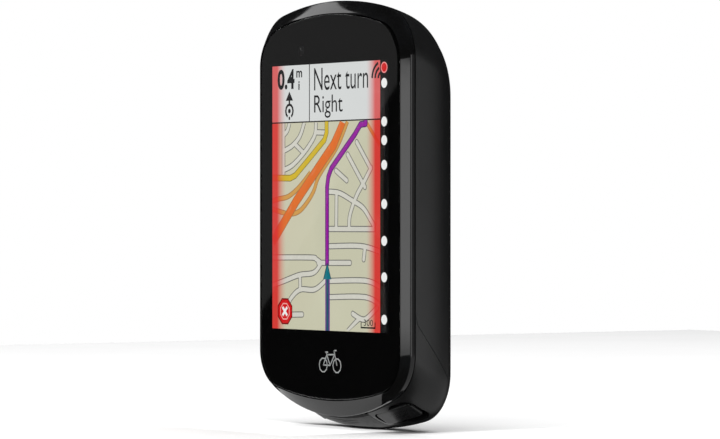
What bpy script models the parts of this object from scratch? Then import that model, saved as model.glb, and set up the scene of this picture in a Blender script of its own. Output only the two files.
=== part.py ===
"""Handlebar cycling computer: two moulded shells round a touch display, three push buttons, a hinged
cover over the charging port, and the electronics, seals and fasteners they hold.

Every size is in millimetres until place() hands it to Blender in metres. Inside this file a point is
(x, depth, height): depth runs back from the face of the glass, height runs up from the lowest edge.
In the finished frame the origin is the middle of the quarter-turn foot's end face, +Y points out of
the back, and +Z up along the body, so the screen looks along -Y.
"""

import math

import bmesh
import bpy
from mathutils import Matrix, Vector

# Driving dimensions
MM = 0.001
BODY_WIDTH = 50.0
BODY_HEIGHT = 82.0
FOOT_DEPTH = 19.2  # overall thickness, glass to the end of the foot
FOOT_HEIGHT = 42.0  # the foot's axis above the lowest edge
BACK_DEPTH = 16.0  # the flat of the back
RIM_DEPTH = 1.45  # where the front chamfer ends and the side band begins
SEAM_DEPTH = 2.5  # where the front housing meets the rear shell along the sides
WALL = 1.4
CAVITY_FLOOR = 5.0  # height of the hollow's floor, over an underside thick enough for the button pockets
GAP = 0.15  # clearance between neighbouring pieces
SEAM_GAP = 0.12

CAVITY_SHIFT = 1.0  # the hollow rounds over this much sooner than the outside

# Front glass and display
GLASS = {"half_width": 23.36, "top": 79.28, "bottom": 5.84, "crowns": (70.0, 80.0), "corners": (7.5, 7.5)}
GLASS_THICKNESS = 1.0
LEDGE_DEPTH = 1.35  # the ledge that the glass is bonded to
PANEL = (20.4, 16.4, 70.5)  # display panel: half width, bottom and top
WINDOW = (20.95, 15.85, 71.05, 0.3)  # the opening behind the glass: half width, bottom, top and corner
FLEX_WINDOW = (15.3, 10.8, 16.9)  # the opening that the display's circuits leave through
SENSOR = (-9.3, 72.7, 0.8)  # light sensor: middle and half size

# Ends of the body at the rim: crown and corner radii of the top and of the bottom
RIM_LIFT = 2.6  # the front lip's lowest edge above the body's lowest edge
RIM_CROWNS = (75.0, 46.0)
RIM_CORNERS = (10.0, 9.0)
BACK_CROWNS = (38.0, 75.0)
BACK_CORNERS = (12.5, 9.5)

# How the rear rounds over: the inset grows from nothing at the seam to this much at the flat back
BACK_INSET, BACK_POWER = 11.0, 4.9
TOP_SLOPE = 0.14
CHIN_RUN = 8.5  # depth over which the underside sweeps down from the lip
LOWER_INSET, LOWER_POWER = 6.5, 8.0

# Parting line between the shells, which turns diagonally back below this height
SEAM_BEND = 22.6
SEAM_TURN = ((2.62, 21.5), (3.03, 20.56))
SEAM_FALL = 1.333

# Fasteners
POSTS = ((13.8, 72.9), (-13.8, 72.9), (17.6, 13.9), (-17.6, 13.9))
POST_RADIUS = 1.7
POST_END = 10.2
SCREW_SEAT = 11.9

# Thumb buttons under the lip: middle of the face, its lean, and half sizes
THUMB = {"x": 15.0, "depth": 6.0, "height": 3.5, "fall": 30.0, "lean": 16.0, "half_u": 4.9, "half_v": 2.1}
THUMB_PROUD = 0.15
DISH_DEPTH = 2.2  # how far the dish bares the button's outer end
THUMB_CORNER = 1.1

# Power button on the left wall
POWER = {"depth": 6.1, "height": 60.0, "half_depth": 1.6, "half_height": 6.0, "proud": 0.3}

# Charging port and its cover
PORT = {"half_width": 3.8, "front": 6.95, "back": 9.55, "mouth": 2.9, "end": 8.1}
COVER = {"half_width": 9.3, "front": 3.15, "back": 10.3, "floor_front": 3.5, "floor_fall": 0.27}
HINGE_FRONT, HINGE_BACK = (3.9, 2.2), (10.3, 0.2)  # (depth, height) of the ends of the cover's hinge line

# Boards and battery
BOARD_FRONT, BOARD_BACK = 6.0, 6.8
BATTERY = {"half_width": 17.5, "front": 8.4, "back": 13.0, "bottom": 24.0, "top": 67.6}

# Flexible circuits from the display to the board, as (depth, height) points
FLEX_THICKNESS = 0.16
DISPLAY_FLEX = ((2.0, 15.3), (2.0, 14.2), (2.8, 13.2), (4.2, 13.2), (5.1, 14.2), (5.2, 16.0), (5.2, 22.8))
TOUCH_FLEX = ((1.45, 15.2), (1.45, 12.8), (2.6, 11.4), (4.4, 11.5), (5.2, 12.8), (5.2, 16.0), (5.2, 22.8))

# Battery leads, from the battery's own board to its socket, as (depth, height) points
LEAD_ROUTE = (
    (10.6, 70.0), (10.5, 71.6), (10.2, 73.0), (9.6, 74.0), (8.8, 74.3), (8.0, 74.0), (7.6, 73.4), (7.55, 72.6)
)
LEAD_RADIUS = 0.42
LEADS = (("battery_lead_positive", 7.8), ("battery_lead_negative", 9.6))

# Cord seal inside the parting line
GASKET_RADIUS = 0.3
GASKET_BACK = 13.2

# Contacts on the back
CONTACT_PITCH = 2.6
CONTACT_HEIGHT = 20.0

ROOT = bpy.data.collections.new("cycling_computer")
CUTTERS = bpy.data.collections.new("cutters")


def clear_scene():
    for obj in list(bpy.data.objects):
        bpy.data.objects.remove(obj)
    for collection in (ROOT, CUTTERS):
        bpy.context.scene.collection.children.link(collection)


def place(x, depth, height):
    """A point of this file as a point of the finished frame, in metres."""
    return Vector((x, depth - FOOT_DEPTH, height - FOOT_HEIGHT)) * MM


def material(name, colour, roughness, metallic=0.0):
    made = bpy.data.materials.new(name)
    made.use_nodes = True
    shader = made.node_tree.nodes["Principled BSDF"]
    shader.inputs["Base Color"].default_value = (*colour, 1.0)
    shader.inputs["Roughness"].default_value = roughness
    shader.inputs["Metallic"].default_value = metallic
    made.diffuse_color = (*colour, 1.0)
    return made


GLOSS_BLACK = material("gloss_black", (0.012, 0.012, 0.013), 0.12)
SATIN_BLACK = material("satin_black", (0.02, 0.02, 0.021), 0.42)
RUBBER_BLACK = material("rubber_black", (0.025, 0.025, 0.026), 0.75)
LENS_BLACK = material("lens_black", (0.006, 0.006, 0.007), 0.04)
PANEL_GREY = material("panel_grey", (0.62, 0.63, 0.55), 0.3)
DIFFUSER_WHITE = material("diffuser_white", (0.85, 0.86, 0.88), 0.5)
STEEL = material("steel", (0.6, 0.6, 0.62), 0.3, 1.0)
GOLD = material("gold", (0.85, 0.6, 0.22), 0.25, 1.0)
BOARD_GREEN = material("board_green", (0.02, 0.14, 0.06), 0.45)
CHIP_BLACK = material("chip_black", (0.03, 0.03, 0.03), 0.5)
CERAMIC = material("ceramic", (0.72, 0.66, 0.55), 0.6)
FOIL = material("foil", (0.7, 0.71, 0.73), 0.35, 0.7)
FOAM = material("foam", (0.08, 0.08, 0.085), 0.95)
FLEX_AMBER = material("flex_amber", (0.55, 0.27, 0.05), 0.4)
SILICONE = material("silicone", (0.35, 0.36, 0.38), 0.6)
WIRE_RED = material("wire_red", (0.6, 0.03, 0.03), 0.5)
WIRE_BLACK = material("wire_black", (0.02, 0.02, 0.02), 0.5)


def keep(obj, name, finish=None):
    """Names an object and files it as a part, or as a cutter where it has no finish."""
    obj.name = name
    if obj.data is not None:
        obj.data.name = name
    for collection in list(obj.users_collection):
        collection.objects.unlink(obj)
    (ROOT if finish else CUTTERS).objects.link(obj)
    if finish:
        obj.data.materials.clear()
        obj.data.materials.append(finish)
    else:
        obj.hide_render = True
        obj.display_type = "WIRE"
    return obj


def boolean(target, cutter, operation="DIFFERENCE"):
    modifier = target.modifiers.new(operation.lower(), "BOOLEAN")
    modifier.operation = operation
    modifier.object = cutter
    modifier.solver = "EXACT"
    return target


def join(target, *others):
    for other in others:
        boolean(target, other, "UNION")
    return target


def cut(target, *cutters):
    for cutter in cutters:
        boolean(target, cutter)
    return target


def box(name, low, high, finish=None, rounding=0.0):
    """A box between two (x, depth, height) corners, with rounded edges if asked."""
    low, high = place(*low), place(*high)
    bpy.ops.mesh.primitive_cube_add(size=1, location=(low + high) / 2)
    obj = bpy.context.object
    obj.scale = high - low
    bpy.ops.object.transform_apply(location=False, rotation=False, scale=True)
    if rounding:
        bevel = obj.modifiers.new("rounding", "BEVEL")
        bevel.width = rounding * MM
        bevel.segments = 2
    return keep(obj, name, finish)


def cylinder(name, radius, start, end, finish=None, vertices=32):
    """A cylinder between two (x, depth, height) points."""
    start, end = place(*start), place(*end)
    along = end - start
    bpy.ops.mesh.primitive_cylinder_add(
        vertices=vertices, radius=radius * MM, depth=along.length, location=(start + end) / 2
    )
    obj = bpy.context.object
    obj.rotation_euler = along.to_track_quat("Z", "Y").to_euler()
    obj.data.shade_smooth()
    obj.data.set_sharp_from_angle(angle=math.radians(40))
    return keep(obj, name, finish)


def arc(centre, radius, start, end, segments):
    """Points along an arc, both ends included, with angles in radians."""
    return [
        (
            centre[0] + radius * math.cos(start + (end - start) * i / segments),
            centre[1] + radius * math.sin(start + (end - start) * i / segments),
        )
        for i in range(segments + 1)
    ]


def body_outline(half_width, top, bottom, crowns, corners, segments=7):
    """A loop of (x, height): straight sides closed by a crowned top and bottom with round corners."""
    loop = []
    ends = ((top, crowns[0], corners[0], 0.0), (bottom, crowns[1], corners[1], math.pi))
    for end, crown, corner, turn in ends:
        sign = 1 if turn == 0.0 else -1
        corner_x = half_width - corner
        reach = math.sqrt((crown - corner) ** 2 - corner_x**2)
        crown_centre = end - sign * crown
        corner_height = crown_centre + sign * reach
        half_angle = math.atan2(corner_x, reach)
        quarter = math.pi / 2
        first, last = turn + quarter - half_angle, turn + quarter + half_angle
        loop += arc((sign * corner_x, corner_height), corner, turn, first, segments)
        loop += arc((0, crown_centre), crown, first, last, segments)[1:-1]
        loop += arc((-sign * corner_x, corner_height), corner, last, turn + math.pi, segments)
    return loop


def glass_outline(grow=0.0):
    """The glass's loop of (x, height), grown by a margin."""
    top, bottom = GLASS["top"] + grow, GLASS["bottom"] - grow
    return body_outline(GLASS["half_width"] + grow, top, bottom, GLASS["crowns"], GLASS["corners"])


def rounded_rectangle(half_width, bottom, top, corner, segments=5):
    centres = (
        (half_width - corner, top - corner),
        (corner - half_width, top - corner),
        (corner - half_width, bottom + corner),
        (half_width - corner, bottom + corner),
    )
    quarter = math.pi / 2
    loop = []
    for i, centre in enumerate(centres):
        loop += arc(centre, corner, i * quarter, (i + 1) * quarter, segments)
    return loop


def loft(name, rings, finish=None, to_world=place):
    """A closed mesh through rings that hold the same number of (x, depth, height) points."""
    mesh = bpy.data.meshes.new(name)
    built = bmesh.new()
    loops = [[built.verts.new(to_world(*point)) for point in ring] for ring in rings]
    for near, far in zip(loops, loops[1:]):
        for i, vertex in enumerate(near):
            j = (i + 1) % len(near)
            built.faces.new((vertex, near[j], far[j], far[i]))
    built.faces.new(loops[0])
    built.faces.new(loops[-1])
    bmesh.ops.recalc_face_normals(built, faces=built.faces)
    built.to_mesh(mesh)
    built.free()
    obj = bpy.data.objects.new(name, mesh)
    ROOT.objects.link(obj)
    return keep(obj, name, finish)


def prism(name, loop, front, back, finish=None):
    """A loop of (x, height) made solid between two depths."""
    return loft(name, [[(x, depth, height) for x, height in loop] for depth in (front, back)], finish)


def side_prism(name, loop, half_width, finish=None):
    """A loop of (depth, height) made solid across the body."""
    rings = [[(x, depth, height) for depth, height in loop] for x in (-half_width, half_width)]
    return loft(name, rings, finish)


def plate(name, loops, front, back, finish):
    """A flat sheet with the first loop of (x, height) as its edge and the others as its holes."""
    curve = bpy.data.curves.new(name, "CURVE")
    curve.dimensions = "2D"
    curve.fill_mode = "BOTH"
    curve.extrude = (back - front) / 2 * MM
    for loop in loops:
        spline = curve.splines.new("POLY")
        spline.points.add(len(loop) - 1)
        for point, (x, height) in zip(spline.points, loop):
            point.co = (x * MM, height * MM, 0, 1)
        spline.use_cyclic_u = True
    obj = bpy.data.objects.new(name, curve)
    obj.location = place(0, (front + back) / 2, 0)
    obj.rotation_euler = (math.pi / 2, 0, 0)
    ROOT.objects.link(obj)
    return keep(obj, name, finish)


def can(name, low, high, finish, wall=0.2):
    """A stamped lid: a box with no floor on its board side."""
    obj = box(name, low, high, finish)
    built = bmesh.new()
    built.from_mesh(obj.data)
    floor = max(built.faces, key=lambda face: face.calc_center_median().y)
    built.faces.remove(floor)
    built.to_mesh(obj.data)
    built.free()
    solidify = obj.modifiers.new("sheet", "SOLIDIFY")
    solidify.thickness = wall * MM
    solidify.offset = -1
    return obj


def tube(name, points, radius, finish, cyclic=False, sides=2):
    """A round cord or wire through (x, depth, height) points."""
    curve = bpy.data.curves.new(name, "CURVE")
    curve.dimensions = "3D"
    curve.bevel_depth = radius * MM
    curve.bevel_resolution = sides
    curve.use_fill_caps = not cyclic
    spline = curve.splines.new("POLY")
    spline.points.add(len(points) - 1)
    for point, where in zip(spline.points, points):
        point.co = (*place(*where), 1)
    spline.use_cyclic_u = cyclic
    obj = bpy.data.objects.new(name, curve)
    ROOT.objects.link(obj)
    return keep(obj, name, finish)


def rounding_share(depth, power):
    """0 at the seam and 1 at the flat back."""
    share = min(max((depth - SEAM_DEPTH) / (BACK_DEPTH - SEAM_DEPTH), 0.0), 1.0)
    return share**power


def mix(pair, other, share):
    return tuple(a + (b - a) * share for a, b in zip(pair, other))


def body_ring(depth, inset=0.0, at=None, floor=0.0):
    """The body's loop at one depth, shrunk by an inset, laid at another depth if that is given."""
    inset_side = BACK_INSET * rounding_share(depth, BACK_POWER)
    behind = max(depth - SEAM_DEPTH, 0.0)
    sweep = max(1 - behind / CHIN_RUN, 0.0)
    share = min(behind / CHIN_RUN, 1.0)
    loop = body_outline(
        BODY_WIDTH / 2 - inset_side - inset,
        BODY_HEIGHT - inset_side - TOP_SLOPE * behind - inset,
        max(RIM_LIFT * sweep**2 + LOWER_INSET * rounding_share(depth, LOWER_POWER) + inset, floor),
        mix(RIM_CROWNS, BACK_CROWNS, share),
        mix(RIM_CORNERS, BACK_CORNERS, share),
    )
    where = depth if at is None else at
    return [(x, where, height) for x, height in loop]


def body_solid():
    """The closed outer form of both shells together."""
    rings = [[(x, 0.05, height) for x, height in glass_outline(GAP)]]
    depths = (RIM_DEPTH, SEAM_DEPTH, 4.2, 6.0, 7.8, 9.5, 11.0, 12.3, 13.4, 14.4, 15.3, BACK_DEPTH)
    rings += [body_ring(depth) for depth in depths]
    return loft("body_form", rings)


def cavity_solid():
    """The hollow between the shells."""
    depths = (SEAM_DEPTH, 4.0, 6.0, 8.0, 10.0, 11.5, 12.8, 13.8, BACK_DEPTH - WALL)
    rings = [body_ring(depth + CAVITY_SHIFT, WALL, depth, CAVITY_FLOOR) for depth in depths]
    return loft("cavity_form", rings)


def parting_height(depth):
    """Height of the diagonal parting line at a depth behind its turn."""
    last_depth, last_height = SEAM_TURN[-1]
    return last_height - SEAM_FALL * (depth - last_depth)


def bezel_region():
    """Everything in front of the seam that runs all the way round."""
    return [(-2.0, -6.0), (-2.0, 92.0), (SEAM_DEPTH, 92.0), (SEAM_DEPTH, -6.0)]


def chin_region():
    """The lower body, below the diagonal parting line."""
    front = SEAM_DEPTH + SEAM_GAP
    return [(front, -6.0), (front, SEAM_BEND), *SEAM_TURN[1:], (18.0, parting_height(18.0)), (18.0, -6.0)]


def rear_region():
    """The back, a seam's gap behind the bezel and above the lower body."""
    front = SEAM_DEPTH + SEAM_GAP
    line = [(depth + SEAM_GAP, height) for depth, height in chin_region()[1:-1]]
    return [(front, 92.0), (front, SEAM_BEND + SEAM_GAP), *line[1:], (24.0, line[-1][1]), (24.0, 92.0)]


def thumb_frame(side):
    """A local frame on the underside: u to the right along the face, v back along it, w into the body."""
    fall, lean = math.radians(THUMB["fall"]), math.radians(THUMB["lean"])
    inwards = Vector((-side * math.sin(lean), math.sin(fall), math.cos(fall) * math.cos(lean))).normalized()
    back = Vector((0, math.cos(fall), -math.sin(fall)))
    back = (back - inwards * back.dot(inwards)).normalized()
    outwards = back.cross(inwards)
    matrix = Matrix((outwards, back, inwards)).transposed().to_4x4()
    matrix.translation = place(side * THUMB["x"], THUMB["depth"], THUMB["height"])
    return matrix


def in_frame(matrix):
    """Turns local (u, v, w) in millimetres into a point of the finished frame."""
    return lambda u, v, w: matrix @ (Vector((u, v, w)) * MM)


def thumb_prism(name, matrix, grow, start, end, finish=None):
    half_u, half_v = THUMB["half_u"] + grow, THUMB["half_v"] + grow
    loop = rounded_rectangle(half_u, -half_v, half_v, THUMB_CORNER + grow)
    return loft(name, [[(u, v, w) for u, v in loop] for w in (start, end)], finish, in_frame(matrix))


def local_cylinder(name, matrix, radius, start, end, finish=None, vertices=20):
    loop = arc((0, 0), radius, 0, 2 * math.pi, vertices)[:-1]
    return loft(name, [[(u, v, w) for u, v in loop] for w in (start, end)], finish, in_frame(matrix))


def soften(obj, width):
    """Rounds the sharp edges of a button's cap."""
    bevel = obj.modifiers.new("edge", "BEVEL")
    bevel.width = width * MM
    bevel.segments = 1
    bevel.limit_method = "ANGLE"
    bevel.angle_limit = math.radians(50)


def on_axis(obj, axis_name, where, direction):
    """Parents a moving piece to an empty on its joint's axis, without moving the piece."""
    empty = bpy.data.objects.get(axis_name)
    if empty is None:
        empty = bpy.data.objects.new(axis_name, None)
        empty.location = where
        empty.rotation_euler = direction.to_track_quat("Z", "Y").to_euler()
        empty.empty_display_size = 5 * MM
        ROOT.objects.link(empty)
        bpy.context.view_layer.update()
    obj.parent = empty
    obj.matrix_parent_inverse = empty.matrix_world.inverted()
    return obj


def make_thumb_button(name, side):
    """A thumb button on the underside, its seal, its switch, and the cutters for its pocket."""
    matrix = thumb_frame(side)
    axis = f"{name}_axis"
    origin, inwards = matrix.translation.copy(), matrix.col[2].to_3d()
    flange_start, flange_end, stem_end = 3.0, 3.6, 5.2

    cap = thumb_prism(name, matrix, 0.0, -THUMB_PROUD, flange_start + 0.1, GLOSS_BLACK)
    soften(cap, 0.35)
    join(
        cap,
        thumb_prism(f"{name}_flange", matrix, 0.5, flange_start, flange_end),
        local_cylinder(f"{name}_stem", matrix, 1.1, flange_end - 0.1, stem_end),
    )
    on_axis(cap, axis, origin, inwards)

    seal = thumb_prism(f"{name}_seal", matrix, 0.55, 4.3, 4.7, SILICONE)
    cut(seal, local_cylinder(f"{name}_seal_hole", matrix, 1.3, 3.0, 5.0))

    plunger = local_cylinder(f"{name}_plunger", matrix, 0.8, stem_end + GAP, 6.7, CHIP_BLACK, 16)
    on_axis(plunger, axis, origin, inwards)
    to_world = in_frame(matrix)
    switch_loop = rounded_rectangle(2.4, -1.8, 1.8, 0.3, 2)
    switch_rings = [[(u, v, w) for u, v in switch_loop] for w in (5.95, 7.7)]
    switch = loft(f"{name}_switch", switch_rings, STEEL, to_world)
    cut(switch, local_cylinder(f"{name}_switch_bore", matrix, 0.95, 5.0, 7.4))
    board_loop = rounded_rectangle(2.9, -2.3, 2.3, 0.4, 2)
    loft(f"{name}_board", [[(u, v, w) for u, v in board_loop] for w in (7.8, 8.3)], BOARD_GREEN, to_world)

    pocket = thumb_prism(f"{name}_pocket", matrix, 0.2, -4.0, 8.5)
    counterbore = thumb_prism(f"{name}_counterbore", matrix, 0.75, flange_start - GAP, 9.0)
    return pocket, counterbore, make_dish(f"{name}_dish", matrix, side)


def make_dish(name, matrix, side):
    """The tapered dish that bares a thumb button's outer end."""
    rings = []
    for spread, w in ((1.9, -3.0), (0.75, DISH_DEPTH)):
        half_u, half_v = (THUMB["half_u"] + spread + 0.5) / 2, THUMB["half_v"] + spread
        loop = rounded_rectangle(half_u, -half_v, half_v, THUMB_CORNER + spread * 0.7)
        middle = side * (THUMB["half_u"] + spread - 0.5) / 2
        rings.append([(middle + u, v, w) for u, v in loop])
    return loft(name, rings, None, in_frame(matrix))


def make_power_button():
    """The side button that stands a little proud of the left wall, with its seal and switch."""
    name, wall = "power_button", -BODY_WIDTH / 2
    depth, height = POWER["depth"], POWER["height"]
    half_depth, half_height = POWER["half_depth"], POWER["half_height"]

    def bar(label, grow, start, end, finish=None):
        reach = half_height + grow
        face = rounded_rectangle(half_depth + grow, -reach, reach, 1.4 + grow)
        loop = [(depth + a, height + b) for a, b in face]
        return loft(label, [[(x, d, h) for d, h in loop] for x in (start, end)], finish)

    cap = bar(name, 0.0, wall - POWER["proud"], -22.8, SATIN_BLACK)
    soften(cap, 0.25)
    join(
        cap,
        bar("power_flange", 0.5, -22.9, -22.3),
        cylinder("power_stem", 0.9, (-22.4, 5.1, height), (-21.95, 5.1, height), vertices=20),
    )
    on_axis(cap, "power_button_axis", place(wall, depth, height), Vector((1, 0, 0)))

    start, end = (-21.8, 5.1, height), (-20.6, 5.1, height)
    plunger = cylinder("power_button_plunger", 0.7, start, end, CHIP_BLACK, 16)
    on_axis(plunger, "power_button_axis", place(wall, depth, height), Vector((1, 0, 0)))
    switch = box("power_button_switch", (-21.3, 4.3, height - 2.4), (-19.3, 5.85, height + 2.4), STEEL)
    cut(switch, cylinder("power_switch_bore", 0.85, (-22.5, 5.1, height), (-19.9, 5.1, height), vertices=20))
    seal = bar("power_button_seal", 1.0, -22.95, -22.65, SILICONE)
    cut(seal, bar("power_seal_window", 0.8, -24, -22))
    return bar("power_hole", 0.2, wall - 3, -22.0)


def make_port_and_cover(body):
    """The charging socket and the rubber cover that swings off it, with the cutters for both."""
    half, front, back = COVER["half_width"], COVER["front"], COVER["back"]

    def floor_height(depth):
        return COVER["floor_front"] - COVER["floor_fall"] * (depth - front)

    def slab(label, start, grow, raise_by, finish=None):
        end = back + grow
        roof = [(depth, floor_height(depth) + raise_by) for depth in (end, start)]
        return side_prism(label, [(start, -4.0), (end, -4.0), *roof], half + grow, finish)

    cover = slab("usb_cover", front, 0.0, -GAP, RUBBER_BLACK)
    boolean(cover, body, "INTERSECT")
    plug_front, plug_back = PORT["front"] + 0.55, PORT["back"] - 0.55
    join(cover, box("usb_plug", (-3.0, plug_front, 1.0), (3.0, plug_back, 3.7)))
    hinge_start, hinge_end = place(-half, *HINGE_FRONT), place(-half, *HINGE_BACK)
    on_axis(cover, "usb_cover_axis", hinge_start, hinge_end - hinge_start)

    port_half, mouth, end = PORT["half_width"], PORT["mouth"], PORT["end"]
    shell = box("usb_port", (-port_half, PORT["front"], mouth), (port_half, PORT["back"], end), STEEL)
    cut(shell, box("usb_mouth", (-3.5, PORT["front"] + 0.25, 1.0), (3.5, PORT["back"] - 0.25, end - 0.3)))
    box("usb_tongue", (-2.9, 7.95, 4.2), (2.9, 8.55, end - 0.45), CHIP_BLACK)

    port_hole = box(
        "usb_port_hole",
        (-port_half - GAP, PORT["front"] - GAP, 0.0),
        (port_half + GAP, PORT["back"] + GAP, 9.0),
    )
    return slab("usb_recess", SEAM_DEPTH - 1.0, GAP, 0.0), port_hole


def make_foot():
    """The quarter-turn foot: a round neck with a locking ear above and below."""
    neck = cylinder("foot_neck", 12.7, (0, 15.1, FOOT_HEIGHT), (0, FOOT_DEPTH, FOOT_HEIGHT), vertices=64)
    ears = cylinder("foot_ears", 15.3, (0, 17.7, FOOT_HEIGHT), (0, FOOT_DEPTH, FOOT_HEIGHT), vertices=72)
    slot = box("foot_ear_width", (-7.4, 17, FOOT_HEIGHT - 20), (7.4, 22, FOOT_HEIGHT + 20))
    boolean(ears, slot, "INTERSECT")
    return neck, ears


def shell_piece(name, body, region, finish):
    """The part of the body's form that lies in one region."""
    piece = body.copy()
    piece.data = body.data.copy()
    keep(piece, name, finish)
    piece.hide_render, piece.display_type = False, "TEXTURED"
    return boolean(piece, side_prism(f"{name}_region", region, 40), "INTERSECT")


def make_shells(body, cavity):
    """Bezel, lower body and rear shell, cut from one form along the parting lines."""
    bezel = shell_piece("front_bezel", body, bezel_region(), GLOSS_BLACK)
    chin = shell_piece("chin_housing", body, chin_region(), SATIN_BLACK)
    rear = shell_piece("rear_shell", body, rear_region(), SATIN_BLACK)
    half, low, high = FLEX_WINDOW
    sensor_x, sensor_height, sensor_half = SENSOR
    reach = sensor_half + 0.3
    cut(
        bezel,
        prism("glass_pocket", glass_outline(GAP), -2, LEDGE_DEPTH),
        prism("display_window", rounded_rectangle(*WINDOW), -2, 3),
        box("flex_window", (-half, 1.0, low), (half, 3.0, high)),
        box(
            "sensor_window",
            (sensor_x - reach, 1, sensor_height - reach),
            (sensor_x + reach, 3, sensor_height + reach),
        ),
    )
    cut(chin, cavity)
    cut(rear, cavity)
    return bezel, chin, rear


def leave_bosses(cavity):
    """Takes the screw bosses out of the hollow, so that they stand on the rear shell's inside."""
    for i, (x, height) in enumerate(POSTS):
        cut(cavity, cylinder(f"boss_{i}", 3.0, (x, POST_END + 0.2, height), (x, 18, height), vertices=24))


def fit_posts(bezel, rear):
    """Screw posts behind the bezel, and the holes for their screws through the rear shell."""
    for i, (x, height) in enumerate(POSTS):
        join(bezel, cylinder(f"post_{i}", POST_RADIUS, (x, 1.6, height), (x, POST_END, height), vertices=20))
        cut(bezel, cylinder(f"pilot_{i}", 0.7, (x, 5.0, height), (x, POST_END + 1, height), vertices=12))
        cut(
            rear,
            cylinder(f"counterbore_{i}", 2.0, (x, SCREW_SEAT - 0.1, height), (x, 19, height), vertices=24),
            cylinder(f"clearance_{i}", 1.0, (x, 10, height), (x, 14, height), vertices=16),
        )


def make_screws():
    for i, (x, height) in enumerate(POSTS, 1):
        seat, top = (x, SCREW_SEAT, height), (x, SCREW_SEAT + 1.1, height)
        head = cylinder(f"case_screw_{i}", 1.7, seat, top, STEEL, 20)
        shank = cylinder(f"shank_{i}", 0.6, (x, 5.6, height), (x, SCREW_SEAT + 0.2, height), vertices=12)
        floor, mouth = (x, SCREW_SEAT + 0.5, height), (x, SCREW_SEAT + 2, height)
        socket = cylinder(f"socket_{i}", 0.75, floor, mouth, vertices=6)
        join(head, shank)
        cut(head, socket)


def make_glass_and_display():
    prism("cover_glass", glass_outline(), 0.0, GLASS_THICKNESS, LENS_BLACK)
    half, bottom, top, corner = WINDOW
    opening = rounded_rectangle(half + 0.2, bottom - 0.2, top + 0.2, corner)
    plate("glass_adhesive", [glass_outline(-0.25), opening], 1.06, 1.28, FOAM)

    half, bottom, top = PANEL
    box("display_panel", (-half, 1.2, bottom), (half, 2.3, top), PANEL_GREY)
    box("backlight", (-half, 2.45, bottom), (half, 3.5, top), DIFFUSER_WHITE)
    tray = box("display_tray", (-half - 0.4, 1.7, bottom - 0.4), (half + 0.4, 3.95, top + 0.4), STEEL)
    cut(tray, box("tray_inside", (-half - 0.15, 1.0, bottom - 0.15), (half + 0.15, 3.65, top + 0.15)))
    x, height, reach = SENSOR
    box("light_sensor", (x - reach, 1.4, height - reach), (x + reach, 2.2, height + reach), CHIP_BLACK)


def ribbon(name, route, thickness, x_from, x_to):
    """A flat flexible circuit that follows (depth, height) points, drawn at its middle."""
    left, right = [], []
    for i, (depth, height) in enumerate(route):
        before, after = route[max(i - 1, 0)], route[min(i + 1, len(route) - 1)]
        run, rise = after[0] - before[0], after[1] - before[1]
        length = math.hypot(run, rise)
        across = (-rise / length * thickness / 2, run / length * thickness / 2)
        left.append((depth + across[0], height + across[1]))
        right.append((depth - across[0], height - across[1]))
    loop = left + right[::-1]
    return loft(name, [[(x, depth, height) for depth, height in loop] for x in (x_from, x_to)], FLEX_AMBER)


def make_boards():
    """Main board, notched for the posts, with a tongue for the port, and what is soldered to it."""
    sheet = rounded_rectangle(20.5, 17.5, 75.0, 8.0)
    board = prism("main_board", sheet, BOARD_FRONT, BOARD_BACK, BOARD_GREEN)
    join(board, prism("board_tongue", rounded_rectangle(7.5, 5.6, 24.0, 1.0), BOARD_FRONT, BOARD_BACK))
    for i, (x, height) in enumerate(POSTS):
        notch = POST_RADIUS + 0.35
        cut(board, cylinder(f"board_notch_{i}", notch, (x, 5, height), (x, 8, height), vertices=24))

    can("processor_shield", (-15, 4.45, 38), (3, 5.9, 60), STEEL)
    can("radio_shield", (5.5, 4.45, 44), (17.5, 5.9, 60), STEEL)
    box("processor_chip", (-13, 4.95, 42), (-4, 5.85, 51), CHIP_BLACK)
    box("radio_chip", (8, 5.1, 48), (14, 5.85, 54), CHIP_BLACK)
    box("charger_chip", (-4, 6.95, 13), (0, 7.7, 17), CHIP_BLACK)
    box("pressure_sensor", (9.2, 6.95, 18.5), (12, 7.8, 21.3), STEEL)
    box("gps_antenna", (-8, 2.9, 72.4), (8, 5.85, 78.8), CERAMIC, rounding=0.3)
    box("gps_antenna_plate", (-6.4, 2.65, 73.3), (6.4, 2.8, 78.3), FOIL)
    box("radio_antenna", (22.3, 4.4, 40), (22.6, 8.4, 62), FLEX_AMBER)
    box("display_socket", (-8.6, 4.5, 23.0), (8.6, 5.85, 25.2), CHIP_BLACK)
    box("touch_socket", (10.2, 4.5, 23.0), (15.4, 5.85, 25.2), CHIP_BLACK)
    box("battery_socket", (6.2, 6.95, 69.2), (11.2, 8.2, 72.4), CHIP_BLACK)
    ribbon("display_flex", DISPLAY_FLEX, FLEX_THICKNESS, -7.5, 7.5)
    ribbon("touch_flex", TOUCH_FLEX, FLEX_THICKNESS, 10.9, 14.6)


def make_battery():
    half, front, back = BATTERY["half_width"], BATTERY["front"], BATTERY["back"]
    bottom, top = BATTERY["bottom"], BATTERY["top"]
    box("battery", (-half, front, bottom), (half, back, top), FOIL, rounding=1.2)
    box("battery_board", (-half + 3, 9.4, top + 0.2), (half - 3, 12.4, top + 2.2), BOARD_GREEN)
    box("battery_pad", (-14.0, back + 0.1, bottom + 4), (14.0, 14.4, top - 9), FOAM)
    for (name, x), finish in zip(LEADS, (WIRE_RED, WIRE_BLACK)):
        tube(name, [(x, depth, height) for depth, height in LEAD_ROUTE], LEAD_RADIUS, finish)


def half_width_at(depth, height, inset):
    """How far the body's wall is from the middle, below its widest part."""
    ring = body_ring(depth + CAVITY_SHIFT, inset, floor=CAVITY_FLOOR + inset - WALL)
    for (x, _, low), (next_x, _, high) in zip(ring[len(ring) // 2 :], ring[len(ring) // 2 + 1 :]):
        if x > 0 and low <= height <= high:
            return x + (next_x - x) * (height - low) / (high - low)
    return ring[0][0]


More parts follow.
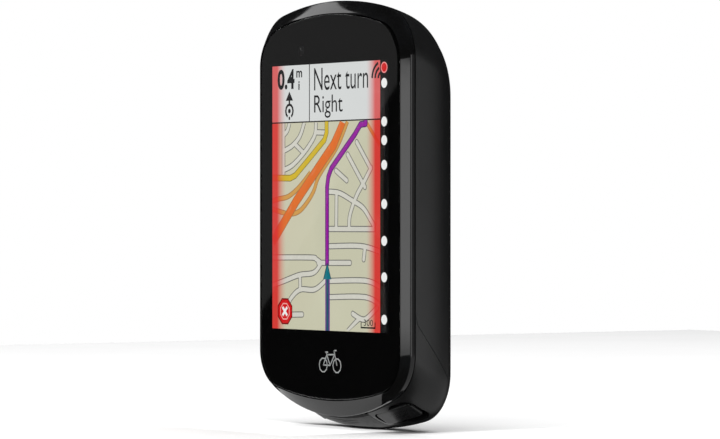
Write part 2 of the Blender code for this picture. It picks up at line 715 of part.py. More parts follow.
def make_case_gasket():
    """The cord seal inside the parting line: over the top, down both diagonals and across the back."""
    inset = WALL + GASKET_RADIUS + GAP
    lie = SEAM_DEPTH + GASKET_RADIUS + GAP
    ring = body_ring(lie + CAVITY_SHIFT, inset, lie)
    over = ring[: len(ring) // 2]
    right = [(ring[0][0], lie, SEAM_BEND + 2.0)]
    for i in range(9):
        depth = lie + 0.2 + (GASKET_BACK - lie - 0.2) * i / 8
        height = parting_height(depth) + 0.6
        right.append((half_width_at(depth, height, inset), depth, height))
    x, depth, height = right[-1]
    right += [(x - 1.5, depth + 0.1, height - 0.15), (x - 5.0, depth + 0.15, height - 0.2)]
    left = [(-x, depth, height) for x, depth, height in right]
    tube("case_gasket", over + left + right[::-1], GASKET_RADIUS, SILICONE, cyclic=True, sides=1)


def make_rear_details(rear):
    for i in range(5):
        x, height = (i - 2) * CONTACT_PITCH, CONTACT_HEIGHT
        cylinder(f"charge_contact_{i + 1}", 0.8, (x, 13.45, height), (x, BACK_DEPTH - 0.2, height), GOLD, 16)
        cut(rear, cylinder(f"contact_hole_{i}", 0.95, (x, 13, height), (x, 19, height), vertices=16))
    box("contact_carrier", (-7.5, 12.2, CONTACT_HEIGHT - 1.8), (7.5, 13.3, CONTACT_HEIGHT + 1.8), CHIP_BLACK)

    cylinder("buzzer", 4.0, (-6.5, 13.1, 12.8), (-6.5, 14.4, 12.8), STEEL, 28)
    for i, x in enumerate((-8.5, -6.5, -4.5)):
        cut(rear, cylinder(f"sound_hole_{i}", 0.45, (x, 14, 12.8), (x, 19, 12.8), vertices=14))
    cylinder("vent_membrane", 2.4, (6.5, 14.1, 12.8), (6.5, 14.4, 12.8), DIFFUSER_WHITE, 20)
    cut(rear, cylinder("vent_hole", 0.6, (6.5, 14, 12.8), (6.5, 19, 12.8), vertices=16))


def main():
    clear_scene()
    body, cavity = body_solid(), cavity_solid()
    leave_bosses(cavity)
    bezel, chin, rear = make_shells(body, cavity)
    fit_posts(bezel, rear)
    join(rear, *make_foot())
    make_glass_and_display()
    cut(chin, *make_port_and_cover(body))
    for name, side in (("lap_button", -1), ("start_button", 1)):
        cut(chin, *make_thumb_button(name, side))
    cut(rear, make_power_button())
    make_boards()
    make_battery()
    make_case_gasket()
    make_screws()
    make_rear_details(rear)


main()
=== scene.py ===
# %% [markdown]
# # A handlebar cycling computer
# The real object is a palm-sized electronic unit: a glass-fronted touch display in a gloss black
# frame, a satin black body behind it, thumb buttons under its lower edge, a power button on one
# side and a quarter-turn foot on its back. It could be carved from one block, but the real one is
# assembled, so each moulding is its own piece here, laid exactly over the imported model.

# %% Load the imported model
import math

import bmesh
import bpy
from mathutils import Matrix, Vector


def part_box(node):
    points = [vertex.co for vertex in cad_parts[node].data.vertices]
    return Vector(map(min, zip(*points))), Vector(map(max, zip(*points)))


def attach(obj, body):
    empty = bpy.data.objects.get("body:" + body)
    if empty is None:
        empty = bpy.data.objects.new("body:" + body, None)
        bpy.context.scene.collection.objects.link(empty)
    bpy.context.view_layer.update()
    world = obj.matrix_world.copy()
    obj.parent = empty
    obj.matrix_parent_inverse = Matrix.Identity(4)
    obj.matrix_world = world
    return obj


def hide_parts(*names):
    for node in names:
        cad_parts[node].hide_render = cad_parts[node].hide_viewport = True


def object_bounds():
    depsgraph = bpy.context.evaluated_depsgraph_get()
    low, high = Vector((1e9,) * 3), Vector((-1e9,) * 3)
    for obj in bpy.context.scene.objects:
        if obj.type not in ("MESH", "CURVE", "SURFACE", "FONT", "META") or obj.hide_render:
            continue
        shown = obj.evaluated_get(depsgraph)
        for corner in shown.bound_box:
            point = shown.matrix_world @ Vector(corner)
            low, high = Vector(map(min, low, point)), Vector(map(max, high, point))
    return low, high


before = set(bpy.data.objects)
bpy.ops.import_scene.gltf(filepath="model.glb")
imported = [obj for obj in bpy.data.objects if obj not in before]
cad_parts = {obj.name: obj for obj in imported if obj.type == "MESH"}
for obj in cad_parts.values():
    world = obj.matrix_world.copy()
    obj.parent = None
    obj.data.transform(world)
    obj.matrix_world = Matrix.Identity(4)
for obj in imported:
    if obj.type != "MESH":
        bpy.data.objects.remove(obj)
cad_low, cad_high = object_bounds()
print("packed size in mm", [round(1000 * (b - a), 2) for a, b in zip(cad_low, cad_high)])

# %% [markdown]
# A designer of this object works in millimetres from the glass: depth runs back from its face and
# height up from the lowest edge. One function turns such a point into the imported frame. Its two
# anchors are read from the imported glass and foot, so that every new piece lands on its neighbours.

# %% The designer's coordinates
MM = 0.001
GLASS_BOTTOM = 5.84  # height of the glass's lower edge
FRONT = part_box("cover_glass")[0].y
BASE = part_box("cover_glass")[0].z - GLASS_BOTTOM * MM


def place(x, depth, height):
    """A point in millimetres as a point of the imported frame, in metres."""
    return Vector((x * MM, FRONT + depth * MM, BASE + height * MM))


print("glass face at y", round(FRONT, 5), "lowest edge at z", round(BASE, 5))

# %% [markdown]
# ## Shader maths as sentences
# A material is a graph, and graphs are hard to read as code. Wrapping a socket in a small class
# lets Python's own operators add the Math nodes, so a wear mask reads like the sum that it is.
# Every other node comes from one method: its type, its settings, then its sockets.


# %% A socket that can be added, multiplied and subtracted
class Signal:
    """One output of a shader graph."""

    def __init__(self, finish, socket):
        self.finish, self.socket = finish, socket

    def maths(self, operation, first, second=0.0):
        return self.finish.node("ShaderNodeMath", {"operation": operation}, {0: first, 1: second})

    def __add__(self, other):
        return self.maths("ADD", self, other)

    def __sub__(self, other):
        return self.maths("SUBTRACT", self, other)

    def __rsub__(self, other):
        return self.maths("SUBTRACT", other, self)

    def __mul__(self, other):
        return self.maths("MULTIPLY", self, other)

    def __truediv__(self, other):
        return self.maths("DIVIDE", self, other)

    def __pow__(self, other):
        return self.maths("POWER", self, other)

    __radd__, __rmul__ = __add__, __mul__

    def sine(self):
        return self.maths("SINE", self)

    def held(self):
        """Kept between 0 and 1."""
        settings = {"operation": "ADD", "use_clamp": True}
        return self.finish.node("ShaderNodeMath", settings, {0: self, 1: 0.0})


# %% A material being written
class Finish:
    """A material, or the world, and the one method that adds its nodes."""

    def __init__(self, name, kept_in=bpy.data.materials):
        self.made = kept_in.new(name)
        self.made.use_nodes = True
        self.tree = self.made.node_tree
        self.tree.nodes.clear()

    def node(self, kind, settings=None, sockets=None, out=0):
        """Adds a node: its settings go first, then a value or a link for each socket."""
        node = self.tree.nodes.new(kind)
        for key, value in (settings or {}).items():
            if key == "stops":
                for stop, (where, grey) in zip(node.color_ramp.elements, value):
                    stop.position, stop.color = where, (grey, grey, grey, 1)
            else:
                setattr(node, key, value)
        for key, value in (sockets or {}).items():
            socket = node.inputs[key]
            if isinstance(value, Signal):
                self.tree.links.new(value.socket, socket)
            else:
                socket.default_value = (*value, 1.0) if socket.type == "RGBA" else value
        return Signal(self, node.outputs[out]) if node.outputs else None

    def where(self):
        """The point on the piece, in millimetres."""
        sockets = {"Vector": self.node("ShaderNodeTexCoord", out="Object"), "Scale": 1 / MM}
        return self.node("ShaderNodeVectorMath", {"operation": "SCALE"}, sockets)

    def axis(self, letter):
        return self.node("ShaderNodeSeparateXYZ", None, {0: self.where()}, letter)

    def stretched(self, x, y, z):
        sockets = {0: self.where(), 1: (x, y, z)}
        return self.node("ShaderNodeVectorMath", {"operation": "MULTIPLY"}, sockets)

    def noise(self, grain, detail=3.0, rough=0.55, vector=None):
        """Noise whose lumps are about this many millimetres across."""
        sockets = {"Vector": vector or self.where(), "Scale": 1 / grain}
        return self.node("ShaderNodeTexNoise", None, {**sockets, "Detail": detail, "Roughness": rough})

    def cells(self, size, feature="F1", vector=None):
        sockets = {"Vector": vector or self.where(), "Scale": 1 / size}
        return self.node("ShaderNodeTexVoronoi", {"feature": feature}, sockets)

    def ramp(self, value, low, high):
        return self.node("ShaderNodeValToRGB", {"stops": ((low, 0.0), (high, 1.0))}, {0: value})

    def mix(self, share, first, second):
        """A colour between two; 6, 7 and 2 are the Mix node's colour sockets."""
        return self.node("ShaderNodeMix", {"data_type": "RGBA"}, {0: share, 6: first, 7: second}, 2)

    def edges(self):
        """1 on the piece's outer edges, where hands polish it."""
        return self.ramp(self.node("ShaderNodeNewGeometry", out="Pointiness"), 0.52, 0.60)

    def bump(self, height, depth_mm):
        return self.node("ShaderNodeBump", None, {"Height": height, "Distance": depth_mm * MM})

    def surface(self, sockets):
        return self.done(self.node("ShaderNodeBsdfPrincipled", None, sockets))

    def done(self, shader, output="ShaderNodeOutputMaterial"):
        self.node(output, None, {"Surface": shader})
        return self.made


def shade(grey, tint=(1.0, 1.0, 1.0)):
    """A grey, or a grey leaning towards a tint."""
    return tuple(grey * t for t in tint)


print("the shader helpers are ready")

# %% [markdown]
# ## Finishes of the mouldings
# The frame round the glass is polished ABS: mirror-like, with the faint waviness that moulding
# leaves and a few rub marks. The body is the same black with a spark-eroded texture, so light
# spreads over it. Hands polish the texture on the edges, so the wear mask lowers roughness there.


# %% Gloss and satin black plastic
def polished_plastic():
    f = Finish("gloss_black_plastic")
    smear = f.ramp(f.noise(6.0, 4.0), 0.45, 0.75)
    scratch = f.ramp(f.noise(0.25, 2.0, 0.5, f.stretched(1, 1, 0.06)), 0.66, 0.78)
    colour = f.mix(smear, shade(0.0035), shade(0.0065, (0.95, 1.0, 1.1)))
    roughness = (0.055 + 0.05 * smear + 0.10 * scratch).held()
    wave = f.noise(2.2, 1.0) * 0.7 + 0.02 * f.noise(0.12, 1.0)
    return f.surface({"Base Color": colour, "Roughness": roughness, "Normal": f.bump(wave, 0.0016)})


def textured_plastic(name, tone, low, high, grain=0.14, depth=0.006):
    """Spark-eroded plastic whose roughness runs from low to high, and drops on worn edges."""
    f = Finish(name)
    patch = f.ramp(f.noise(9.0, 3.0), 0.35, 0.7)
    speck = f.ramp(f.noise(0.09, 2.0), 0.40, 0.62)
    worn = f.edges()
    colour = f.mix(speck, shade(tone * 0.8), shade(tone * 1.25, (0.97, 1.0, 1.05)))
    colour = f.mix(worn * 0.35, colour, shade(tone * 1.9))
    roughness = (low + (high - low) * patch + 0.05 * speck - 0.12 * worn).held()
    pits = f.cells(grain) * 0.6 + 0.5 * f.noise(grain * 0.6, 2.0)
    return f.surface({"Base Color": colour, "Roughness": roughness, "Normal": f.bump(pits, depth)})


GLOSS = polished_plastic()
SATIN = textured_plastic("satin_black_plastic", 0.0075, 0.33, 0.43)
BUTTON = textured_plastic("button_black_plastic", 0.009, 0.24, 0.34, grain=0.22, depth=0.004)
print("finishes:", GLOSS.name, SATIN.name, BUTTON.name)

# %% [markdown]
# The port cover and the seals are softer: silicone rubber is matt, dusty in its pores and paler
# where it is bent. Moulded rubber shows no gloss, so its roughness stays high throughout.


# %% Rubber
def rubber(name, tone, tint=(1, 1, 1)):
    f = Finish(name)
    dust = f.ramp(f.noise(1.1, 5.0), 0.5, 0.85)
    colour = f.mix(dust * 0.45, shade(tone, tint), shade(tone * 2.2 + 0.006, tint))
    colour = f.mix(f.edges() * 0.3, colour, shade(tone * 2.4 + 0.004, tint))
    grain = f.noise(0.16, 4.0) + 0.4 * f.cells(0.3)
    sockets = {"Base Color": colour, "Roughness": 0.62 + 0.2 * dust}
    return f.surface({**sockets, "Normal": f.bump(grain, 0.01)})


RUBBER = rubber("black_rubber", 0.012)
SILICONE = rubber("grey_silicone", 0.12, (0.95, 0.98, 1.0))
print("rubbers:", RUBBER.name, SILICONE.name)

# %% [markdown]
# ## Finishes inside the case
# Metal pieces are drawn or stamped, so their fine lines run one way and their roughness follows
# the lines. The circuit board has copper tracks under green resist, which a brick pattern lays out
# as a regular net of lines. Each electronic material gets the mark that its making leaves.


# %% Metals, boards and chips
def metal(name, colour, low, high, lines=(1, 14, 1)):
    f = Finish(name)
    drawn = f.noise(0.5, 4.0, 0.6, f.stretched(*lines))
    tarnish = f.ramp(f.noise(3.0, 4.0), 0.45, 0.8)
    tone = f.mix(0.5 * tarnish, colour, shade(0.62, colour))
    roughness = (low + (high - low) * drawn + 0.12 * tarnish).held()
    sockets = {"Base Color": tone, "Metallic": 1.0, "Roughness": roughness}
    return f.surface({**sockets, "Normal": f.bump(drawn, 0.004)})


def circuit_board():
    f = Finish("circuit_board_green")
    upright = f.node("ShaderNodeCombineXYZ", None, {0: f.axis("X"), 1: f.axis("Z")})
    copper = {"Color1": shade(0), "Color2": shade(0), "Mortar": shade(1)}
    net = {"Scale": 1.0, "Mortar Size": 0.12, "Brick Width": 1.9, "Row Height": 0.65}
    settings = {"offset": 0.5, "squash": 0.6}
    tracks = f.node("ShaderNodeTexBrick", settings, {"Vector": upright, **copper, **net})
    spots = f.cells(1.3, vector=upright)
    plated, resist = 1 - f.ramp(spots, 0.10, 0.14), f.ramp(spots, 0.16, 0.161)
    colour = f.mix(tracks * 0.7, (0.008, 0.07, 0.03), (0.02, 0.16, 0.06))
    colour = f.mix(plated, colour, (0.75, 0.55, 0.2))
    roughness = (0.32 + 0.12 * f.noise(0.4) + 0.1 * resist).held()
    return f.surface({"Base Color": colour, "Roughness": roughness, "Normal": f.bump(tracks, 0.02)})


def moulded(name, colour, low, high, grain, depth, metallic=0.0, spread=1.6):
    """A moulded, fired or printed stuff: two tones of a colour, broken gloss and a fine grain."""
    f = Finish(name)
    patch, apart = f.noise(grain * 7, 4.0), spread**0.5
    tone = f.mix(patch, tuple(c / apart for c in colour), tuple(min(c * apart, 1) for c in colour))
    fine = f.noise(grain, 3.0)
    sockets = {"Base Color": tone, "Metallic": metallic, "Roughness": (low + (high - low) * fine).held()}
    return f.surface({**sockets, "Normal": f.bump(fine, depth)})


def foil():
    f = Finish("crinkled_foil")
    folds = f.cells(2.4, "DISTANCE_TO_EDGE")
    crease = 1 - f.ramp(folds, 0.0, 0.12)
    # The colour is darker along the folds: painted shade in the creases.
    colour = f.mix(crease, (0.62, 0.63, 0.66), (0.38, 0.39, 0.41))
    roughness = (0.28 + 0.15 * f.noise(0.5) + 0.1 * crease).held()
    sockets = {"Base Color": colour, "Metallic": 0.8, "Roughness": roughness}
    return f.surface({**sockets, "Normal": f.bump(folds, 0.05)})


def foam():
    f = Finish("open_cell_foam")
    pores = f.cells(0.22)
    # The colour is darker in the middle of each pore: painted shade in the holes.
    colour = f.mix(f.ramp(pores, 0.1, 0.5), shade(0.008), shade(0.05))
    sockets = {"Base Color": colour, "Roughness": 0.85 + 0.1 * pores}
    return f.surface({**sockets, "Normal": f.bump(pores, 0.08)})


def flexible_circuit():
    f = Finish("amber_flexible_circuit")
    sockets = {"Vector": f.where(), "Scale": 0.8}
    bands = f.node("ShaderNodeTexWave", {"bands_direction": "X"}, sockets, "Fac")
    tracks = f.ramp(bands, 0.45, 0.6)
    colour = f.mix(tracks, (0.36, 0.13, 0.012), (0.62, 0.33, 0.09))
    roughness = (0.22 + 0.15 * f.noise(0.6)).held()
    return f.surface({"Base Color": colour, "Roughness": roughness, "Normal": f.bump(tracks, 0.015)})


print("finishes for metals, boards, foams and films are ready")


# %% [markdown]
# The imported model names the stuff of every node. One table from that name to a finish dresses all
# the inner pieces at once, so nothing is left in a flat colour when the case is opened.

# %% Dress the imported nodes
FINISHES = {
    "gloss_black": GLOSS, "lens_glass": GLOSS, "satin_black": SATIN, "button_black": BUTTON,
    "rubber_black": RUBBER, "silicone": SILICONE,
    "display_panel": moulded("display_panel_glass", (0.30, 0.31, 0.28), 0.1, 0.2, 0.3, 0.001),
    "diffuser": moulded("diffuser_white_film", (0.78, 0.79, 0.8), 0.45, 0.6, 0.2, 0.003, spread=1.1),
    "steel": metal("stamped_steel", (0.52, 0.52, 0.54), 0.2, 0.42),
    "gold": metal("gold_plating", (0.83, 0.58, 0.22), 0.12, 0.3, (1, 1, 1)),
    "circuit_board": circuit_board(),
    "chip_black": moulded("chip_epoxy", (0.018, 0.018, 0.019), 0.42, 0.62, 0.08, 0.006),
    "ceramic": moulded("fired_ceramic", (0.62, 0.55, 0.43), 0.5, 0.7, 0.12, 0.01, spread=1.2),
    "foil": foil(), "foam": foam(), "flex_circuit": flexible_circuit(),
    "wire_red": moulded("red_wire_sleeve", (0.5, 0.015, 0.012), 0.35, 0.5, 0.2, 0.004),
    "wire_black": moulded("black_wire_sleeve", (0.012, 0.012, 0.013), 0.35, 0.5, 0.2, 0.004),
}
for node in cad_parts.values():
    stuff = node.data.materials[0].name.split(".")[0]
    node.data.materials[0] = FINISHES[stuff]
print(len(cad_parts), "packed nodes dressed with", len(FINISHES), "finishes")

# %% [markdown]
# ## The mouldings' common form
# Seen from the front, the body is a rounded rectangle whose top and bottom are crowned: each end is
# a shallow arc that meets the sides in small corners. From the side it swells, then rounds in to a
# flat back, and below the lip it sweeps under. A loft through many such loops gives that form with
# even highlights; subdividing a box would lose the exact corners that the glass has to fit.

# %% Sizes of the form, in millimetres
HALF_WIDTH, TOP = 25.0, 81.9
INSIDE_BOX = 0.03  # the lowest edge is lifted by this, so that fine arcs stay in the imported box
RIM_DEPTH, SEAM_DEPTH, BACK_DEPTH, FOOT_DEPTH = 1.45, 2.5, 16.0, 19.2
WALL, CAVITY_FLOOR, CAVITY_SHIFT = 1.4, 5.0, 1.0
GAP, SEAM_GAP = 0.15, 0.12
GLASS_HALF, GLASS_TOP = 23.36, 79.28
GLASS_CROWNS, GLASS_CORNERS = (70.0, 80.0), (7.5, 7.5)
RIM_LIFT, RIM_CROWNS, RIM_CORNERS = 2.6, (75.0, 46.0), (10.0, 9.0)
BACK_CROWNS, BACK_CORNERS = (38.0, 75.0), (12.5, 9.5)
BACK_INSET, BACK_POWER, LOWER_INSET, LOWER_POWER = 11.0, 4.9, 6.5, 8.0
TOP_SLOPE, CHIN_RUN = 0.14, 8.5
SEAM_BEND, SEAM_TURN, SEAM_FALL = 22.6, (3.03, 20.56), 1.333
FOOT_HEIGHT, CONTACT_HEIGHT = 42.0, 20.0
POSTS = ((13.8, 72.9), (-13.8, 72.9), (17.6, 13.9), (-17.6, 13.9))
FINE = 22  # steps along each arc of an outline


# %% Loops
def arc(centre, radius, start, end, steps):
    turns = [start + (end - start) * i / steps for i in range(steps + 1)]
    return [(centre[0] + radius * math.cos(a), centre[1] + radius * math.sin(a)) for a in turns]


def disc(x, height, radius, steps=28):
    return arc((x, height), radius, 0, 2 * math.pi, steps)[:-1]


def outline(half_width, top, bottom, crowns, corners):
    """A loop of (x, height): straight sides, crowned ends and round corners."""
    loop = []
    for end, crown, corner, turn, sign in (
        (top, crowns[0], corners[0], 0.0, 1),
        (bottom, crowns[1], corners[1], math.pi, -1),
    ):
        inner = half_width - corner
        reach = math.sqrt((crown - corner) ** 2 - inner**2)
        middle = end - sign * crown
        side, quarter = math.atan2(inner, reach), turn + math.pi / 2
        height = middle + sign * reach
        loop += arc((sign * inner, height), corner, turn, quarter - side, FINE)
        loop += arc((0, middle), crown, quarter - side, quarter + side, FINE)[1:-1]
        loop += arc((-sign * inner, height), corner, quarter + side, turn + math.pi, FINE)
    return loop


def glass_loop(grow=0.0):
    ends = (GLASS_TOP + grow, GLASS_BOTTOM - grow)
    return outline(GLASS_HALF + grow, *ends, GLASS_CROWNS, GLASS_CORNERS)


def body_loop(depth, inset=0.0, floor=0.0):
    """The body's loop at one depth, shrunk by an inset."""
    share = min(max((depth - SEAM_DEPTH) / (BACK_DEPTH - SEAM_DEPTH), 0.0), 1.0)
    sides = BACK_INSET * share**BACK_POWER
    behind = max(depth - SEAM_DEPTH, 0.0)
    sweep, turned = max(1 - behind / CHIN_RUN, 0.0), min(behind / CHIN_RUN, 1.0)
    crowns = [a + (b - a) * turned for a, b in zip(RIM_CROWNS, BACK_CROWNS)]
    corners = [a + (b - a) * turned for a, b in zip(RIM_CORNERS, BACK_CORNERS)]
    bottom = max(RIM_LIFT * sweep**2 + LOWER_INSET * share**LOWER_POWER + inset + INSIDE_BOX, floor)
    top = TOP - sides - TOP_SLOPE * behind - inset
    return outline(HALF_WIDTH - sides - inset, top, bottom, crowns, corners)


def at_depth(loop, depth):
    return [(x, depth, height) for x, height in loop]


def between(first, second, share):
    """The loop that lies this share of the way from one loop to another."""
    return [(a + (c - a) * share, b + (d - b) * share) for (a, b), (c, d) in zip(first, second)]


def rounded(half_width, low, high, corner, steps=6, middle=0.0):
    """A rectangle with round corners."""
    loop, quarter = [], math.pi / 2
    right, left = middle + half_width - corner, middle - half_width + corner
    upper, lower = high - corner, low + corner
    for i, centre in enumerate(((right, upper), (left, upper), (left, lower), (right, lower))):
        loop += arc(centre, corner, i * quarter, (i + 1) * quarter, steps)
    return loop


print("points on one outline:", len(glass_loop()))


# %% From loops to meshes
def linked(name, data):
    obj = bpy.data.objects.new(name, data)
    bpy.context.scene.collection.objects.link(obj)
    return obj


def from_bmesh(name, built):
    mesh = bpy.data.meshes.new(name)
    built.to_mesh(mesh)
    built.free()
    return linked(name, mesh)


def loft(name, rings, to_world=place, ring_closed=False):
    """A closed mesh through rings of as many points; the last may join the first, without caps."""
    built = bmesh.new()
    loops = [[built.verts.new(to_world(*point)) for point in ring] for ring in rings]
    pairs = list(zip(loops, loops[1:] + loops[:1])) if ring_closed else list(zip(loops, loops[1:]))
    for near, far in pairs:
        for i, vertex in enumerate(near):
            j = (i + 1) % len(near)
            built.faces.new((vertex, near[j], far[j], far[i]))
    if not ring_closed:
        built.faces.new(loops[0])
        built.faces.new(loops[-1])
    bmesh.ops.recalc_face_normals(built, faces=built.faces)
    return from_bmesh(name, built)


def prism(name, loop, front, back):
    return loft(name, [at_depth(loop, front), at_depth(loop, back)])


def side_prism(name, loop, half_width):
    """A side view's loop of (depth, height), drawn out to both sides."""
    return loft(name, [[(x, depth, height) for depth, height in loop] for x in (-half_width, half_width)])


def block(name, low, high):
    loop = [(low[0], low[2]), (high[0], low[2]), (high[0], high[2]), (low[0], high[2])]
    return prism(name, loop, low[1], high[1])


def rod(name, radius, start, end, steps=40):
    """A cylinder between two points, from a ring swept along the line between them."""
    first, last = place(*start), place(*end)
    turn = (last - first).to_track_quat("Z", "Y")
    ring = disc(0, 0, radius * MM, steps)
    rings = [[(spot + turn @ Vector((a, b, 0)),) for a, b in ring] for spot in (first, last)]
    return loft(name, rings, to_world=lambda point: point)


def drills(name, radius, spots, start, end, steps=40):
    """A rod at each (x, height), from one depth to another."""
    return [rod(f"{name}_{i}", radius, (x, start, h), (x, end, h), steps) for i, (x, h) in enumerate(spots)]


def copied(obj, name):
    return linked(name, obj.data.copy())


print("forms: loft, prism, side prism, block, rod")

# %% [markdown]
# Pockets, holes and joined parts are Booleans, as a milling cutter or a welded seam would make them.
# Each is worked out at once and kept as plain mesh, so that no piece depends on its tools. A
# finished piece is smoothed, keeps its hard edges by angle, and rides on its body of the mechanism.


# %% Cut, join and finish
def combine(target, operation, *tools):
    """Cuts, joins or intersects with the tools, keeps plain mesh and drops the tools."""
    for tool in tools:
        step = target.modifiers.new(operation, "BOOLEAN")
        step.operation, step.object, step.solver = operation, tool, "EXACT"
    made = bpy.data.meshes.new_from_object(target.evaluated_get(bpy.context.evaluated_depsgraph_get()))
    target.modifiers.clear()
    target.data = made
    for tool in tools:
        bpy.data.objects.remove(tool)
    return target


def cut(target, *tools):
    return combine(target, "DIFFERENCE", *tools)


def finish_piece(obj, body, material, stands_for=(), sharp=32.0):
    """Smooths a piece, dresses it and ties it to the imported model."""
    obj.data.materials.clear()
    obj.data.materials.append(material)
    obj.data.shade_smooth()
    obj.data.set_sharp_from_angle(angle=math.radians(sharp))
    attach(obj, body)
    if stands_for:
        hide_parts(*stands_for)
    print(obj.name, len(obj.data.polygons), "faces on", body)
    return obj


print("cutters and finishing are ready")

# %% [markdown]
# ## The bezel
# The gloss frame is one closed ring: the glass sits in its pocket, a slanting face catches the
# light down each side, and a narrow band ends at the parting line. Sweeping a profile round the
# outline gives each of its edges a small true radius, which a Boolean would leave razor sharp.

# %% Sweep the bezel's profile
glass_edge, rim_edge, seam_edge = glass_loop(GAP), body_loop(RIM_DEPTH), body_loop(SEAM_DEPTH, 0.10)
SLANT_STEPS, SLANT_FALL = 12, 1.4
bezel_rings = [at_depth(glass_edge, 1.35), at_depth(glass_edge, 0.16)]
bezel_rings.append(at_depth(glass_loop(GAP + 0.05), 0.06))
for i in range(SLANT_STEPS + 1):  # the slanting face, with a slight belly
    share = 0.05 + 0.90 * i / SLANT_STEPS
    bezel_rings.append(at_depth(between(glass_edge, rim_edge, share**0.93), 0.05 + SLANT_FALL * share))
bezel_rings.append(at_depth(between(glass_edge, rim_edge, 0.992), 1.45))
bezel_rings += [at_depth(rim_edge, depth) for depth in (1.60, 1.9, 2.2, 2.40)]
bezel_rings += [at_depth(body_loop(SEAM_DEPTH, 0.03), 2.46), at_depth(seam_edge, SEAM_DEPTH)]
bezel_rings.append(at_depth(body_loop(SEAM_DEPTH, WALL + 0.4), SEAM_DEPTH))
bezel = loft("gloss_bezel", bezel_rings, ring_closed=True)
finish_piece(bezel, "housing", GLOSS, ["front_bezel"], sharp=50)

# %% [markdown]
# Behind the glass the bezel has a ledge, open in the middle for the display, and four posts that
# take the case screws. They are flat-sided, so prisms and rods with Booleans are enough.

# %% Ledge and screw posts
opening = prism("opening", rounded(20.95, 15.85, 71.05, 0.3), -2, 4)
ledge = cut(prism("ledge", body_loop(SEAM_DEPTH, 1.0), 1.35, 2.46), opening)
combine(ledge, "UNION", *drills("post", 1.7, POSTS, 2.0, 10.2))
cut(ledge, *drills("pilot_hole", 0.7, POSTS, 5, 11, 20))
finish_piece(ledge, "housing", GLOSS).name = "bezel_ledge_and_posts"

# %% [markdown]
# ## The two body mouldings
# One form is cut along the parting line into the rear shell and the chin that carries the buttons
# and the port. Cutting both from the same loft makes their surfaces run on across the gap, as they
# do on the real object, where both come out of matched moulds.

# %% Loft the body, and its hollow
depths = [RIM_DEPTH, 2.0, SEAM_DEPTH] + [2.9 + 0.4 * i for i in range(19)]
depths += [10.45 + 0.3 * i for i in range(14)]
depths += [14.6, 14.85, 15.1, 15.3, 15.5, 15.68, 15.84, 15.94, BACK_DEPTH]
rings = [at_depth(glass_loop(GAP), 0.05)] + [at_depth(body_loop(d), d) for d in depths]
body = loft("body_form", rings + [at_depth(body_loop(BACK_DEPTH, 0.5), BACK_DEPTH)])
depths = (2.5, 3.2, 4.0, 5.0, 6.0, 7.0, 8.0, 9.0, 10.0, 10.8, 11.5, 12.2, 12.8, 13.3, 13.8, 14.2, 14.6)
hollow = loft("hollow_form", [at_depth(body_loop(d + CAVITY_SHIFT, WALL, CAVITY_FLOOR), d) for d in depths])
cut(hollow, *drills("boss", 3.0, POSTS, 10.4, 18))
print("body form has", len(body.data.polygons), "faces")

# %% Part it along the seam
front, seam_end = SEAM_DEPTH + SEAM_GAP, 18.0
low_end = SEAM_TURN[1] - SEAM_FALL * (seam_end - SEAM_TURN[0])
chin_side = [(front, -6), (front, SEAM_BEND), SEAM_TURN, (seam_end, low_end), (seam_end, -6)]
rear_side = [(front, 92), (front, SEAM_BEND + SEAM_GAP), (SEAM_TURN[0] + SEAM_GAP, SEAM_TURN[1]),
             (seam_end + SEAM_GAP, low_end), (24, low_end), (24, 92)]
chin = combine(copied(body, "satin_chin"), "INTERSECT", side_prism("chin_region", chin_side, 40))
rear = combine(copied(body, "satin_rear_shell"), "INTERSECT", side_prism("rear_region", rear_side, 40))
cut(chin, copied(hollow, "hollow_for_chin"))
cut(rear, hollow)
print("chin faces", len(chin.data.polygons), "rear faces", len(rear.data.polygons))

# %% [markdown]
# The quarter-turn foot is moulded with the rear shell: a round neck, and an ear above and one below
# that lock under the mount. Both are turned profiles, and a block trims the ears to their width.
# Screws, contacts, sounder and vent each have their own hole.


# %% Foot of the rear shell
def turned(name, profile, steps):
    """A round form about the foot's axis, from (radius, depth) pairs."""
    return loft(name, [at_depth(disc(0, FOOT_HEIGHT, radius, steps), depth) for radius, depth in profile])


NECK = ((12.9, 15.1), (12.9, 15.95), (12.7, 16.15), (12.7, 18.95), (12.45, FOOT_DEPTH))
EARS = ((15.0, 17.7), (15.3, 17.95), (15.3, 18.95), (15.05, FOOT_DEPTH))
ears = combine(turned("foot_ears", EARS, 112), "INTERSECT", block("ear_width", (-7.4, 17, 20), (7.4, 22, 64)))
combine(rear, "UNION", turned("foot_neck", NECK, 96), ears)
print("foot reaches", FOOT_DEPTH, "mm behind the glass")


# %% Holes of the rear shell
def power_ring(grow, corner, x):
    """The power button's long shape, grown by so much, where it crosses the plane at x."""
    loop = rounded(1.6 + grow, -6.0 - grow, 6.0 + grow, corner, 10)
    return [(x, 6.1 + a, 60.0 + b) for a, b in loop]


def power_bar(name, grow, start, end):
    return loft(name, [power_ring(grow, 1.4 + grow, x) for x in (start, end)])


holes = drills("counterbore", 2.0, POSTS, 11.8, 19) + drills("clearance", 1.0, POSTS, 10, 14)
holes += drills("contact_hole", 0.95, [((i - 2) * 2.6, CONTACT_HEIGHT) for i in range(5)], 13, 19)
holes += drills("sound_hole", 0.45, [(-8.5 + 2 * i, 12.8) for i in range(3)], 14, 19)
holes += drills("vent_hole", 0.6, [(6.5, 12.8)], 14, 19)
cut(rear, *holes, power_bar("power_hole", 0.2, -28.0, -22.0))
print("rear shell has", len(holes) + 1, "openings")

# %% [markdown]
# ## Thumb buttons
# Two push buttons sit under the lip, one each side, leaning outwards so that a thumb meets them
# squarely. A local frame on each slanting face keeps their sizes simple: u runs along the face, v
# back across it and w into the body, which is also the way that the button travels.


